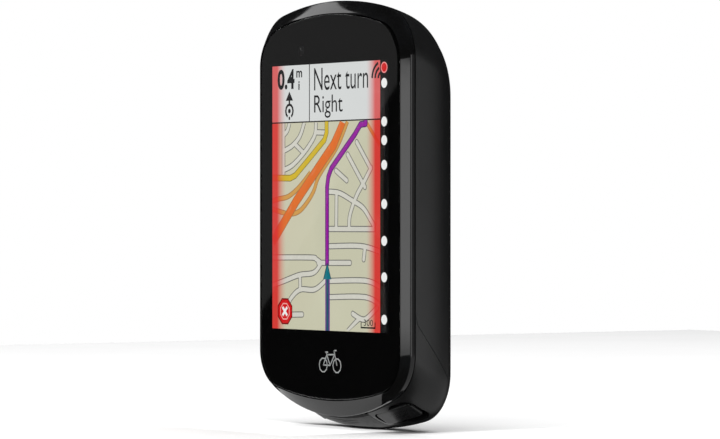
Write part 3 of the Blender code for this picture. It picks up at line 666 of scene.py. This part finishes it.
# %% Frames and forms of a thumb button
def thumb_frame(side):
    fall, lean = math.radians(30.0), math.radians(16.0)
    inwards = Vector((-side * math.sin(lean), math.sin(fall), math.cos(fall) * math.cos(lean))).normalized()
    back = Vector((0, math.cos(fall), -math.sin(fall)))
    back = (back - inwards * back.dot(inwards)).normalized()
    face = Matrix((back.cross(inwards), back, inwards)).transposed().to_4x4()
    face.translation = place(side * 15.0, 6.0, 3.5)
    return face


def local_loft(name, face, rings):
    return loft(name, rings, lambda u, v, w: face @ (Vector((u, v, w)) * MM))


THUMB_HALF, THUMB_REACH, THUMB_CORNER = 4.9, 2.1, 1.1


def thumb_rings(profile):
    """Rings of a rounded rectangle that grows and shrinks as it runs into the body."""
    rings = []
    for grow, w in profile:
        corner = max(THUMB_CORNER + grow, 0.3)
        loop = rounded(THUMB_HALF + grow, -THUMB_REACH - grow, THUMB_REACH + grow, corner, 8)
        rings.append([(u, v, w) for u, v in loop])
    return rings


def dish_rings(side):
    """The dish round a button, open towards its own side of the body and narrower inside."""
    rings = []
    for spread, w in ((1.9, -3.0), (0.75, 2.2)):
        half = (THUMB_HALF + spread + 0.5) / 2
        corner = THUMB_CORNER + spread * 0.7
        loop = rounded(half, -THUMB_REACH - spread, THUMB_REACH + spread, corner, 8)
        middle = side * (THUMB_HALF + spread - 0.5) / 2
        rings.append([(middle + u, v, w) for u, v in loop])
    return rings


# %% Cut the pockets and make the caps
CAP_PROFILE = ((-0.90, -0.15), (-0.42, -0.15), (-0.30, -0.14), (-0.16, -0.09), (-0.06, 0.01), (-0.01, 0.15),
               (0, 0.35), (0, 3.05), (0.5, 3.06), (0.5, 3.6), (-1.0, 3.6))  # growth, then w
for label, side in (("lap_button", -1), ("start_button", 1)):
    face = thumb_frame(side)
    pocket = local_loft(f"{label}_pocket", face, thumb_rings(((0.2, -4.0), (0.2, 8.5))))
    counterbore = local_loft(f"{label}_counterbore", face, thumb_rings(((0.75, 2.85), (0.75, 9.0))))
    cut(chin, local_loft(f"{label}_dish", face, dish_rings(side)), pocket, counterbore)
    cap = local_loft(f"{label}_cap", face, thumb_rings(CAP_PROFILE))
    stem_rings = [[(u, v, w) for u, v in disc(0, 0, 1.1, 32)] for w in (3.5, 5.2)]
    stem = local_loft(f"{label}_stem", face, stem_rings)
    finish_piece(combine(cap, "UNION", stem), label, BUTTON, [label])

# %% [markdown]
# ## Charging port and its cover
# A rubber cover closes the port under the chin and swings on its moulded hinge. Its outside has to
# follow the underside exactly, so it is cut from the same body form. Its plug presses into the
# port, and three grip grooves across its front give a fingernail something to pull.


# %% Cut the recess, then mould the cover
def cover_slab(name, start, grow, raise_by):
    end = 10.3 + grow
    heights = [3.5 - 0.27 * (depth - 3.15) + raise_by for depth in (end, start)]
    loop = [(start, -4), (end, -4), (end, heights[0]), (start, heights[1])]
    return side_prism(name, loop, 9.3 + grow)


port_hole = block("port_hole", (-3.95, 6.8, 0), (3.95, 9.7, 9))
cut(chin, cover_slab("cover_recess", 1.5, GAP, 0.0), port_hole)
cover = cover_slab("port_cover_moulding", 3.15, 0.0, -GAP)
combine(cover, "INTERSECT", copied(body, "body_for_cover"))
combine(cover, "UNION", block("cover_plug", (-3.0, 7.5, 1.0), (3.0, 9.0, 3.7)))
grooves = []
for i in range(3):
    depth, height = 3.9 + 0.75 * i, 1.84 - 0.40 * i
    grooves.append(rod(f"groove_{i}", 0.22, (-5.5, depth, height), (5.5, depth, height), 12))
cut(cover, *grooves)
finish_piece(cover, "usb_cover", RUBBER, ["usb_cover"])
finish_piece(chin, "housing", SATIN, ["chin_housing"])
finish_piece(rear, "housing", SATIN, ["rear_shell"])
bpy.data.objects.remove(body)

# %% [markdown]
# The power button on the left wall is a long cap with a crowned face, a flange that keeps it in the
# wall, and a stem that presses its switch.

# %% Power button
power_cap = power_bar("power_button_cap", 0.0, -25.05, -22.8)
CROWN = ((0.45, -25.3), (0.25, -25.27), (0.09, -25.2), (0.0, -25.04))
power_top = loft("power_crown", [power_ring(-shrink, 1.4 - shrink * 0.8, x) for shrink, x in CROWN])
power_flange = power_bar("power_flange", 0.5, -22.9, -22.3)
power_stem = rod("power_stem", 0.9, (-22.4, 5.1, 60), (-21.95, 5.1, 60))
combine(power_cap, "UNION", power_top, power_flange, power_stem)
finish_piece(power_cap, "power_button", BUTTON, ["power_button"])

# %% [markdown]
# ## Glass and display
# The front is a sheet of hardened glass, clear over the picture and printed black behind its border.
# The picture lies close under it. The clear sheet mirrors more at a slant, which a Fresnel factor
# between a see-through and a glossy shader gives. Finger smears take a little of that mirror away.


# %% Clear sheet and printed border
def clear_glass():
    """See-through glass that mirrors on its way in only, a little less where it is smeared."""
    f = Finish("clear_cover_glass")
    smear = f.ramp(f.noise(9.0, 5.0), 0.5, 0.8)
    dulled = (0.008 + 0.035 * smear).held()
    normal = f.bump(f.noise(14.0, 1.0), 0.0008)
    polished = {"Color": (1, 1, 1), "Roughness": 0.02}
    mirror = f.node("ShaderNodeBsdfAnisotropic", {"distribution": "GGX"}, polished)
    through = f.node("ShaderNodeBsdfTransparent", None, {"Color": (0.985, 0.99, 0.985)})
    share = f.node("ShaderNodeFresnel", None, {"IOR": 1.5, "Normal": normal})
    leaving = f.node("ShaderNodeNewGeometry", out="Backfacing")
    share = (share * (1 - leaving) * (1 - dulled)).held()
    return f.done(f.node("ShaderNodeMixShader", None, {0: share, 1: through, 2: mirror}))


def printed_border():
    f = Finish("black_printed_border")
    speck = f.noise(0.15, 2.0)
    colour = f.mix(speck, shade(0.0006), shade(0.0012))
    return f.surface({"Base Color": colour, "Roughness": 0.6 + 0.1 * speck, "Specular IOR Level": 0.0,
                      "Normal": f.bump(speck, 0.0002)})


PANE_EDGE = ((-0.60, 0.0), (-0.12, 0.0), (-0.05, 0.02), (0.0, 0.07), (0.0, 0.10))  # growth, then depth
pane = loft("clear_glass_pane", [at_depth(glass_loop(grow), depth) for grow, depth in PANE_EDGE])
finish_piece(pane, "housing", clear_glass(), ["cover_glass"], sharp=50)
backing = prism("black_glass_backing", glass_loop(-0.02), 0.30, 0.98)
finish_piece(backing, "housing", printed_border())

# %% [markdown]
# ## The picture
# A lit display makes its own light, so its colours are emission and keep their brightness whatever
# falls on them. Each colour is a thin layer of its own, like the layers of a printed map: land,
# then streets, main roads, the planned route and the marks on top. Each layer's depth behind the
# glass face is given in millimetres, and a smaller one lies nearer the eye. Fine rows of the
# display's cells run through every layer. A red warning glow fades in from both sides, so every map
# colour is mixed with red by its x.

# %% Display colours
LEFT, RIGHT, LOW, HIGH = -19.49, 19.49, 19.0, 70.0  # the lit area
MAP_RIGHT, MAP_HIGH = 16.86, 58.9
GLOW = 0.95  # how far the warning glow covers the map's colours


def linear(*values):
    """A display colour of 0 to 255 as the linear light that shaders work with."""
    return tuple((c / 255 / 12.92) if c <= 10.3 else ((c / 255 + 0.055) / 1.055) ** 2.4 for c in values)


def lit(name, colour, glow=0.0):
    """A display colour: cell rows, a slow unevenness of the backlight, and the warning glow."""
    f = Finish(name)
    rows = (f.axis("Z") * 42.0).sine() * 0.02 + (f.axis("X") * 42.0).sine() * 0.02
    even = 0.96 + 0.04 * f.noise(12.0, 1.0) + rows
    tone = f.mix(even.held(), shade(0.0), colour)
    if glow:
        x = f.axis("X")
        left, right = ((-14.6 - x) / 3.2).held(), ((x - 12.2) / 3.0).held()
        tone = f.mix(((left**1.5 + right**1.5) * glow).held(), tone, linear(220, 40, 38))
    sockets = {"Base Color": shade(0.002), "Roughness": 0.2 + 0.05 * f.noise(0.3)}
    return f.surface({**sockets, "Specular IOR Level": 0.1, "Emission Color": tone, "Emission Strength": 1.0})


print("lit area in mm", RIGHT - LEFT, "x", HIGH - LOW)


# %% Drawing with thin layers
def layer(name, loops, depth, material):
    """Flat shapes as one thin piece, each loop of (x, height) filled."""
    built = bmesh.new()
    for loop in loops:
        area = sum(a * d - c * b for (a, b), (c, d) in zip(loop, loop[1:] + loop[:1]))
        points = loop if area > 0 else loop[::-1]
        built.faces.new([built.verts.new(place(x, depth, h)) for x, h in points])
    obj = from_bmesh(name, built)
    solid = obj.modifiers.new("film", "SOLIDIFY")
    solid.thickness, solid.offset = 0.006 * MM, -1
    return finish_piece(obj, "housing", material)


def inside(points, low_x, high_x, low_h, high_h):
    """The stretches of a line that lie in a rectangle, each as its two ends."""
    kept = []
    for (a, b), (c, d) in zip(points, points[1:]):
        start, end = 0.0, 1.0  # the kept share of this stretch
        for p, q in ((a - c, a - low_x), (c - a, high_x - a), (b - d, b - low_h), (d - b, high_h - b)):
            if p < 0:
                start = max(start, q / p)
            elif p > 0:
                end = min(end, q / p)
            elif q < 0:
                start = 2.0
        if start < end:
            kept.append(((a + (c - a) * start, b + (d - b) * start), (a + (c - a) * end, b + (d - b) * end)))
    return kept


def stroke(points, width, clip=(LEFT, MAP_RIGHT, LOW, MAP_HIGH)):
    """Loops that draw a line: a bar for each stretch and a round dot on each inner joint."""
    loops, half = [], width / 2
    for (a, b), (c, d) in inside(points, *clip):
        length = math.hypot(c - a, d - b)
        if length > 1e-6:
            across = (-(d - b) / length * half, (c - a) / length * half)
            bar = [(a + across[0], b + across[1]), (a - across[0], b - across[1]),
                   (c - across[0], d - across[1]), (c + across[0], d + across[1])]
            loops.append([(min(max(x, clip[0]), clip[1]), min(max(h, clip[2]), clip[3])) for x, h in bar])
    for x, h in points[1:-1]:
        if clip[0] + half < x < clip[1] - half and clip[2] + half < h < clip[3] - half:
            loops.append(disc(x, h, half, 14))
    return loops


def curve(points):
    """A smooth line through a few points, in six steps from each to the next."""
    padded = [points[0], *points, points[-1]]
    line = []
    for four in zip(padded, padded[1:], padded[2:], padded[3:]):
        for t in (i / 6 for i in range(6)):
            line.append(tuple(0.5 * (2 * b + (c - a) * t + (2 * a - 5 * b + 4 * c - d) * t**2
                                     + (3 * b - a - 3 * c + d) * t**3) for a, b, c, d in zip(*four)))
    return line + [points[-1]]


def rectangle(x0, x1, h0, h1):
    return [(x0, h0), (x1, h0), (x1, h1), (x0, h1)]


def strokes(lines, width):
    return [loop for line in lines for loop in stroke(line, width)]


print("drawing helpers are ready")


# %% [markdown]
# The map is drawn from the back forwards. Streets are pale with a grey edge, so each is drawn
# twice: a wide grey line and a narrower pale one over it. Main roads and the planned route follow.

# %% Land, header and edge strip
LAND, HEADER, EDGE = linear(207, 205, 180), linear(222, 224, 224), linear(6, 6, 7)
layer("display_land", [rectangle(LEFT, MAP_RIGHT, LOW, 58.95)], 0.285, lit("lit_land", LAND, GLOW))
layer("display_header", [rectangle(LEFT, MAP_RIGHT, 59.05, HIGH)], 0.285, lit("lit_header", HEADER, 0.85))
layer("display_edge_strip", [rectangle(MAP_RIGHT, RIGHT, LOW, HIGH)], 0.285, lit("lit_strip", EDGE))
INK = lit("lit_ink", linear(16, 18, 20))
rules = [rectangle(LEFT, MAP_RIGHT, 58.85, 59.1), rectangle(-6.75, -6.5, 59.1, HIGH)]
layer("header_rules", rules, 0.250, INK)

# %% Streets
STREETS = [
    [(-15.6, 58.9), (-15.6, 48.9)], curve([(-15.3, 56.7), (-14.2, 57.5), (-13.5, 58.9)]),
    curve([(-15.5, 53.5), (-12.5, 54.5), (-9.9, 56.3), (-8.4, 58.9)]),
    curve([(-15.5, 49.8), (-12.5, 50.7), (-8.9, 52.8), (-6.3, 54.8), (-4.7, 56.6), (-4.4, 58.8)]),
    [(-11.5, 54.7), (-8.6, 53.0)], [(-4.2, 56.9), (-1.4, 56.8)],
    [(9.2, 54.8), (13.7, 49.9)], [(6.2, 52.5), (11.9, 46.3)], [(2.3, 49.5), (5.9, 47.6)],
    curve([(13.9, 49.9), (11.7, 47.4), (9.4, 45.0), (7.7, 42.5), (6.8, 40.4), (6.7, 38.5)]),
    curve([(0.2, 45.5), (3.6, 45.2), (7.7, 43.8), (11.3, 42.4), (13.9, 40.0), (14.9, 39.0)]),
    [(14.9, 38.4), (0.2, 38.4)], [(2.5, 44.9), (2.4, 38.4)],
    curve([(0.2, 35.1), (10.5, 35.2), (16.8, 34.2)]),
    [(11.9, 34.8), (11.5, 32.7)], [(-3.7, 31.9), (7.0, 32.0)],
    curve([(0.2, 28.5), (12.0, 28.7), (16.8, 27.6)]), curve([(0.2, 25.4), (12.0, 25.6), (16.8, 24.2)]),
    curve([(15.8, 23.6), (12.4, 21.6), (10.5, 21.5), (7.9, 22.4)]), [(10.0, 21.5), (6.2, 19.0)],
    curve([(-19.4, 32.8), (-6.1, 32.9), (-4.4, 32.6), (-2.7, 31.9)]),
    curve([(-2.7, 31.8), (-5.2, 30.0), (-10.1, 29.5), (-15.7, 28.2), (-19.4, 27.4)]),
    [(-9.9, 29.4), (-9.8, 26.8)],
    curve([(-1.1, 28.6), (-4.8, 26.8), (-9.7, 26.7), (-12.7, 25.2), (-14.2, 23.5)]),
    [(-12.5, 21.8), (-9.1, 21.9)],
]
street_edge = lit("lit_street_edge", linear(112, 112, 108), GLOW)
street_fill = lit("lit_street", linear(214, 212, 202), GLOW)
layer("street_edges", strokes(STREETS, 1.20), 0.276, street_edge)
layer("streets", strokes(STREETS, 0.84), 0.268, street_fill)
ends = [(x, h) for line in STREETS for x, h in (line[0], line[-1]) if -18.5 < x < 16 and 20 < h < 58]
layer("street_edge_ends", [disc(x, h, 0.60, 16) for x, h in ends], 0.276, street_edge)
layer("street_ends", [disc(x, h, 0.42, 16) for x, h in ends], 0.268, street_fill)

# %% Main roads
AMBER = lit("lit_yellow_road", linear(214, 184, 44), GLOW)
ORANGE = lit("lit_orange_road", linear(228, 112, 40), GLOW)
TAN = lit("lit_tan_road", linear(210, 156, 80), GLOW)
OLIVE = lit("lit_olive_edge", linear(132, 118, 44), GLOW)
BROWN = lit("lit_brown_edge", linear(160, 108, 62), GLOW)
YELLOW_ROAD = [(-19.4, 48.3), (-13.2, 48.2), (-11.5, 48.7), (-7.1, 51.6), (-1.5, 55.4), (-0.8, 56.8),
               (-0.8, 58.9)]
HIGHWAY = [(-19.6, 35.8), (-17.5, 37.6), (-11.2, 43.7), (-1.8, 51.6), (1.6, 54.4), (4.9, 59.3)]
BRANCHES = [
    curve([(-19.4, 43.8), (-17.2, 44.2), (-13.8, 44.7), (-10.1, 46.5), (-6.3, 49.2)]),
    curve([(-19.4, 42.2), (-13.8, 41.3), (-10.4, 41.7), (-7.8, 43.2), (-5.2, 45.6), (-3.3, 48.6),
           (2.7, 54.0), (6.2, 58.8)]),
    [(12.2, 58.8), (16.8, 54.2)],
]
layer("branch_edges", strokes(BRANCHES, 1.05), 0.262, BROWN)
layer("branches", strokes(BRANCHES, 0.78), 0.257, TAN)
layer("yellow_road_edge", stroke(YELLOW_ROAD, 1.30), 0.252, OLIVE)
layer("yellow_road", stroke(YELLOW_ROAD, 1.00), 0.247, AMBER)
layer("highway_edge", stroke(HIGHWAY, 2.2), 0.240, BROWN)
layer("highway", stroke(HIGHWAY, 1.9), 0.232, ORANGE)

# %% The planned route and the way already ridden
ROUTE = [(12.2, 58.9), (12.2, 58.2), (10.5, 58.1), (8.7, 56.3), (0.8, 49.9), (-0.2, 48.3), (-0.6, 46.4),
         (-0.6, 31.4)]
TRAIL = [(-0.45, 29.0), (-0.45, LOW)]
layer("route_edge", stroke(ROUTE, 1.30), 0.228, lit("lit_route_edge", linear(84, 24, 110)))
layer("planned_route", stroke(ROUTE, 0.85), 0.221, lit("lit_route", linear(150, 26, 158), 0.3))
layer("route_trail_edge", stroke(TRAIL, 1.50), 0.228, lit("lit_trail_edge", linear(112, 44, 140)))
layer("route_trail", stroke(TRAIL, 0.75), 0.214, lit("lit_trail", linear(30, 84, 108)))

# %% [markdown]
# Over the map lie the rider's arrow, an eight-sided button that closes the page, a scale bar,
# and the header's icons. The column of dots on the right edge warns of traffic behind.

# %% Marks over the map
marker = [(-0.5, 31.9), (-1.75, 28.8), (0.75, 28.8)]
layer("position_arrow", [marker], 0.208, lit("lit_arrow", linear(20, 118, 132)))
arrow_edge = strokes([[marker[0], foot] for foot in marker[1:]], 0.2)
layer("position_arrow_edge", arrow_edge, 0.200, lit("lit_arrow_edge", linear(14, 60, 78)))
WHITE, RED = lit("lit_white", linear(246, 246, 246)), lit("lit_red", linear(214, 24, 28))


def octagon(radius):
    """A stop sign's outline about the close button's middle."""
    turns = [math.radians(22.5 + 45 * i) for i in range(8)]
    return [(-15.0 + radius * math.cos(a), 22.4 + radius * math.sin(a)) for a in turns]


layer("close_button_rim", [octagon(2.75)], 0.224, lit("lit_close_rim", linear(120, 10, 12)))
layer("close_button", [octagon(2.45)], 0.216, RED)
layer("close_button_ring", [octagon(1.75)], 0.208, lit("lit_close_ring", linear(250, 170, 165)))
layer("close_button_middle", [octagon(1.50)], 0.200, RED)
cross = strokes([[(-15.8, 21.6), (-14.2, 23.2)], [(-15.8, 23.2), (-14.2, 21.6)]], 0.55)
layer("close_button_cross", cross, 0.192, WHITE)

# %% Scale bar and warning dots
ticks = [rectangle(10.6, 10.85, 19.7, 20.9), rectangle(15.15, 15.4, 19.7, 20.9)]
layer("scale_bar", [rectangle(10.6, 15.4, 19.7, 20.0), *ticks], 0.224, INK)
DOT_LINE, DOTS = 18.17, (65.7, 58.5, 55.0, 50.4, 43.1, 36.2, 29.4, 21.5)
layer("edge_dots", [disc(DOT_LINE, h, 0.93) for h in DOTS], 0.260, WHITE)
layer("alert_dot_rim", [disc(DOT_LINE, 68.6, 1.05)], 0.260, lit("lit_pink", linear(250, 150, 150)))
layer("alert_dot", [disc(DOT_LINE, 68.6, 0.82)], 0.250, RED)


# %% Signal arcs and turn icon
def arc_band(x, h, radius, width, start, end):
    """A bent bar of this width, between two angles in degrees."""
    a, b = math.radians(start), math.radians(end)
    return arc((x, h), radius + width / 2, a, b, 10) + arc((x, h), radius - width / 2, b, a, 10)


signal_arcs = [arc_band(17.4, 66.6, r, 0.5, 112, 178) for r in (1.1, 2.1, 3.1)]
layer("signal_arcs", signal_arcs, 0.240, INK)
arrow_head = [(-14.75, 63.2), (-12.25, 63.2), (-13.5, 65.0)]
turn_icon = [arc_band(-13.5, 61.2, 1.25, 0.5, -60, 240), rectangle(-13.75, -13.25, 59.5, 60.1),
             rectangle(-13.75, -13.25, 62.3, 63.4), arrow_head, disc(-13.5, 61.2, 0.45)]
layer("turn_icon", turn_icon, 0.240, INK)


# %% [markdown]
# Words on a display are generic guidance: a distance, a unit and a next turn. Blender's text object
# makes the letters, which become a mesh and are then scaled to the space that they fill.


# %% Generic words
def words(name, text, low, high, depth, material, weight=0.0):
    """Writes the text and fits it between a lower left and an upper right point."""
    font = bpy.data.curves.new(name, "FONT")
    font.body, font.offset = text, weight
    writing = linked(name, font)
    bpy.context.view_layer.update()
    mesh = bpy.data.meshes.new_from_object(writing.evaluated_get(bpy.context.evaluated_depsgraph_get()))
    bpy.data.objects.remove(writing)
    xs, ys = [v.co.x for v in mesh.vertices], [v.co.y for v in mesh.vertices]
    across, up = (high[0] - low[0]) / (max(xs) - min(xs)), (high[1] - low[1]) / (max(ys) - min(ys))
    for v in mesh.vertices:
        v.co = place(low[0] + (v.co.x - min(xs)) * across, depth, low[1] + (v.co.y - min(ys)) * up)
    return finish_piece(linked(name, mesh), "housing", material)


words("distance_words", "0.4", (-17.6, 65.4), (-11.7, 69.3), 0.240, INK, 0.035)
words("unit_upper_letter", "m", (-11.1, 67.6), (-9.1, 68.9), 0.240, INK, 0.02)
words("unit_lower_letter", "i", (-10.4, 65.2), (-9.95, 66.9), 0.240, INK, 0.02)
words("street_words", "Next turn", (-5.0, 64.9), (13.0, 69.2), 0.240, INK)
words("street_words_below", "Right", (-5.0, 59.6), (4.6, 64.0), 0.240, INK)
words("scale_number", "300", (11.6, 20.2), (14.6, 21.4), 0.216, INK)

# %% [markdown]
# Below the display a small mark is printed in white behind the glass. Here it is a plain bicycle
# sign. A light sensor shows as a faint smoked window near the top.

# %% Printed mark and sensor window
PALE = moulded("white_glass_ink", (0.55, 0.56, 0.57), 0.3, 0.4, 0.1, 0.0005, spread=1.15)
sign = [arc_band(-1.9, 12.4, 1.35, 0.26, 0, 359.9), arc_band(2.7, 12.4, 1.35, 0.26, 0, 359.9)]
tubes = [[(-1.9, 12.4), (-0.7, 14.4), (1.9, 14.5), (0.4, 12.4), (-1.9, 12.4)], [(-0.7, 14.4), (0.4, 12.4)],
         [(2.7, 12.4), (1.7, 15.2), (2.5, 15.3)], [(-1.2, 14.9), (-0.3, 14.9)], [(-0.7, 14.4), (-0.85, 14.9)]]
WHOLE_GLASS = (-25, 25, 0, 82)
layer("bicycle_sign", sign + [bar for line in tubes for bar in stroke(line, 0.26, WHOLE_GLASS)], 0.240, PALE)
SMOKED = moulded("smoked_window", (0.0045, 0.0045, 0.005), 0.1, 0.2, 0.3, 0.0005)
layer("sensor_window", [rounded(0.9, 71.8, 73.6, 0.3, middle=-9.3)], 0.240, SMOKED)

# %% [markdown]
# ## Studio
# Black plastic has almost no colour of its own: what is seen is what it reflects. Each light is
# therefore a glowing card set where one face of the object mirrors it. The camera stands 55
# degrees round to the right of the glass, level with the middle of the body, and far off with a
# long lens, so that the body's edges stay nearly parallel.

# %% Camera
TURN, DISTANCE, BESIDE = math.radians(55.0), 703.2, 6.13  # the body stands left of the middle
forward = Vector((-math.sin(TURN), math.cos(TURN), 0))
right = Vector((math.cos(TURN), math.sin(TURN), 0))
camera = linked("camera", bpy.data.cameras.new("camera"))
camera.location = place(0, 0, 40.2) + (right * BESIDE - forward * DISTANCE) * MM
camera.rotation_euler = (math.pi / 2, 0, TURN)
camera.data.lens, camera.data.sensor_width, camera.data.clip_start = 184.45, 36.0, 0.01
bpy.context.scene.camera = camera
print("camera at", [round(c, 3) for c in camera.location])


# %% Glowing cards
def glow(name, brightness, low=None, fall="X", start=0.0, end=1.0):
    """An emission that may fade to a low brightness across the card."""
    f = Finish(name)
    strength = brightness
    if low is not None:
        spread = f.node("ShaderNodeTexCoord", out="Generated")
        across = f.node("ShaderNodeSeparateXYZ", None, {0: spread}, fall)
        share = ((across - start) / (end - start)).held()
        strength = low + (brightness - low) * share
    return f.done(f.node("ShaderNodeEmission", None, {"Color": (1, 1, 1), "Strength": strength}))


def card(name, corners, material, camera_sees=False):
    mesh = bpy.data.meshes.new(name)
    mesh.from_pydata([tuple(c) for c in corners], [], [tuple(range(len(corners)))])
    mesh.materials.append(material)
    obj = linked(name, mesh)
    obj.visible_camera, obj.visible_shadow = camera_sees, False
    return obj


def facing_card(name, azimuth, lift, distance, width, height, material):
    """A card that faces the body from an angle round it and an angle above it."""
    a, e = math.radians(azimuth), math.radians(lift)
    away = Vector((math.sin(a) * math.cos(e), -math.cos(a) * math.cos(e), math.sin(e)))
    side = Vector((math.cos(a), math.sin(a), 0))
    up = away.cross(side) * -1
    centre = place(0, 8, 40) + away * distance * MM
    ends = rectangle(-width / 2, width / 2, -height / 2, height / 2)
    return card(name, [centre + (side * a + up * b) * MM for a, b in ends], material)


print("two ways to place a card are ready")

# %% [markdown]
# The glass mirrors a grey card whose edge crosses it from the lower left to the upper right. To put
# that edge in its place, the camera is mirrored in the glass, and each corner is sent out from there
# through the point of the glass where it has to be seen.

# %% The card that the glass mirrors
mirrored = Vector((camera.location.x, 2 * FRONT - camera.location.y, camera.location.z))
CARD_REACH = 1.71  # the card's distance from the mirrored camera, where the glass is at 1
EDGE_ENDS = ((-23.3, 22.0), (23.4, 66.0))


def behind_glass(x, height):
    """The point of a card that the camera sees mirrored at a point of the glass."""
    return mirrored + (place(x, 0, height) - mirrored) * CARD_REACH


def along_edge(share):
    (x0, h0), (x1, h1) = EDGE_ENDS
    return (x0 + (x1 - x0) * share, h0 + (h1 - h0) * share)


spots = [along_edge(-0.6), along_edge(1.6), (20, 140), (-60, 140), (-80, 20)]
card("diagonal_grey_card", [behind_glass(*spot) for spot in spots], glow("card_grey", 0.22))
print("card corners:", len(spots))

# %% The other cards
facing_card("front_right_softbox", 35, 0, 600, 190, 134, glow("softbox_bright", 2.6, 0.15, "Z", 0.0, 0.16))
facing_card("right_softbox", 122, 0, 600, 500, 240, glow("softbox_side", 5.5, 0.25, "X", 0.46, 1.0))
facing_card("top_left_softbox", -64, 29, 600, 290, 150, glow("softbox_top", 1.9))
for name, (x0, x1, y0, y1), brightness in (
    ("low_lip_card", (-0.060, 0.012, -0.036, -0.011), 0.85),
    ("low_right_card", (0.020, 0.12, -0.016, 0.12), 0.55),
):
    corners = [(x, y, cad_low.z + 0.0005) for x, y in rectangle(x0, x1, y0, y1)]
    card(name, corners, glow(f"glow_{name}", brightness))
print("cards placed")


# %% [markdown]
# Two large lamps light the floor and soften the shadow, and reflections leave them out. The floor is
# pale paper, and the world is white where the camera sees it and nearly dark for the object.

# %% Lamps
for name, location, size, power in (
    ("overhead_fill", Vector((0, 0, 0.75)), 1.6, 16.5),
    ("front_fill", Vector((0.5, -0.9, 0.45)), 0.6, 2.0),
):
    data = bpy.data.lights.new(name, "AREA")
    data.shape, data.size, data.size_y, data.energy = "RECTANGLE", size, size, power
    lamp = linked(name, data)
    lamp.location, lamp.visible_glossy = location, False
    lamp.rotation_euler = (-location).to_track_quat("-Z", "Y").to_euler()
    print(name, power, "W")

# %% Floor
FLOOR_HALF = 0.45
f = Finish("pale_floor")
grain = f.noise(30.0, 3.0)
paper = f.mix(grain, shade(0.86), shade(0.90))
sockets = {"Base Color": paper, "Roughness": 0.75 + 0.1 * grain, "Specular IOR Level": 0.0}
FLOOR = f.surface({**sockets, "Normal": f.bump(f.noise(0.8, 3.0), 0.01)})
corners = [(x, y, cad_low.z) for x, y in rectangle(-FLOOR_HALF, FLOOR_HALF, -FLOOR_HALF, FLOOR_HALF)]
floor = card("floor", corners, FLOOR, camera_sees=True)
floor.visible_shadow, floor.visible_glossy = True, False
print("floor at", round(cad_low.z, 5))

# %% World
f = Finish("white_studio", bpy.data.worlds)
to_camera = f.node("ShaderNodeLightPath", out="Is Camera Ray")
air = f.node("ShaderNodeBackground", None, {"Color": (0.02, 0.02, 0.021), "Strength": 1.0})
room = f.node("ShaderNodeBackground", None, {"Color": (1, 1, 1), "Strength": 1.0})
seen = f.node("ShaderNodeMixShader", None, {0: to_camera, 1: air, 2: room})
bpy.context.scene.world = f.done(seen, "ShaderNodeOutputWorld")
bpy.context.scene.view_settings.view_transform = "Standard"
print("world set:", bpy.context.scene.world.name)

# %% Bring the scene up to date
bpy.context.view_layer.update()
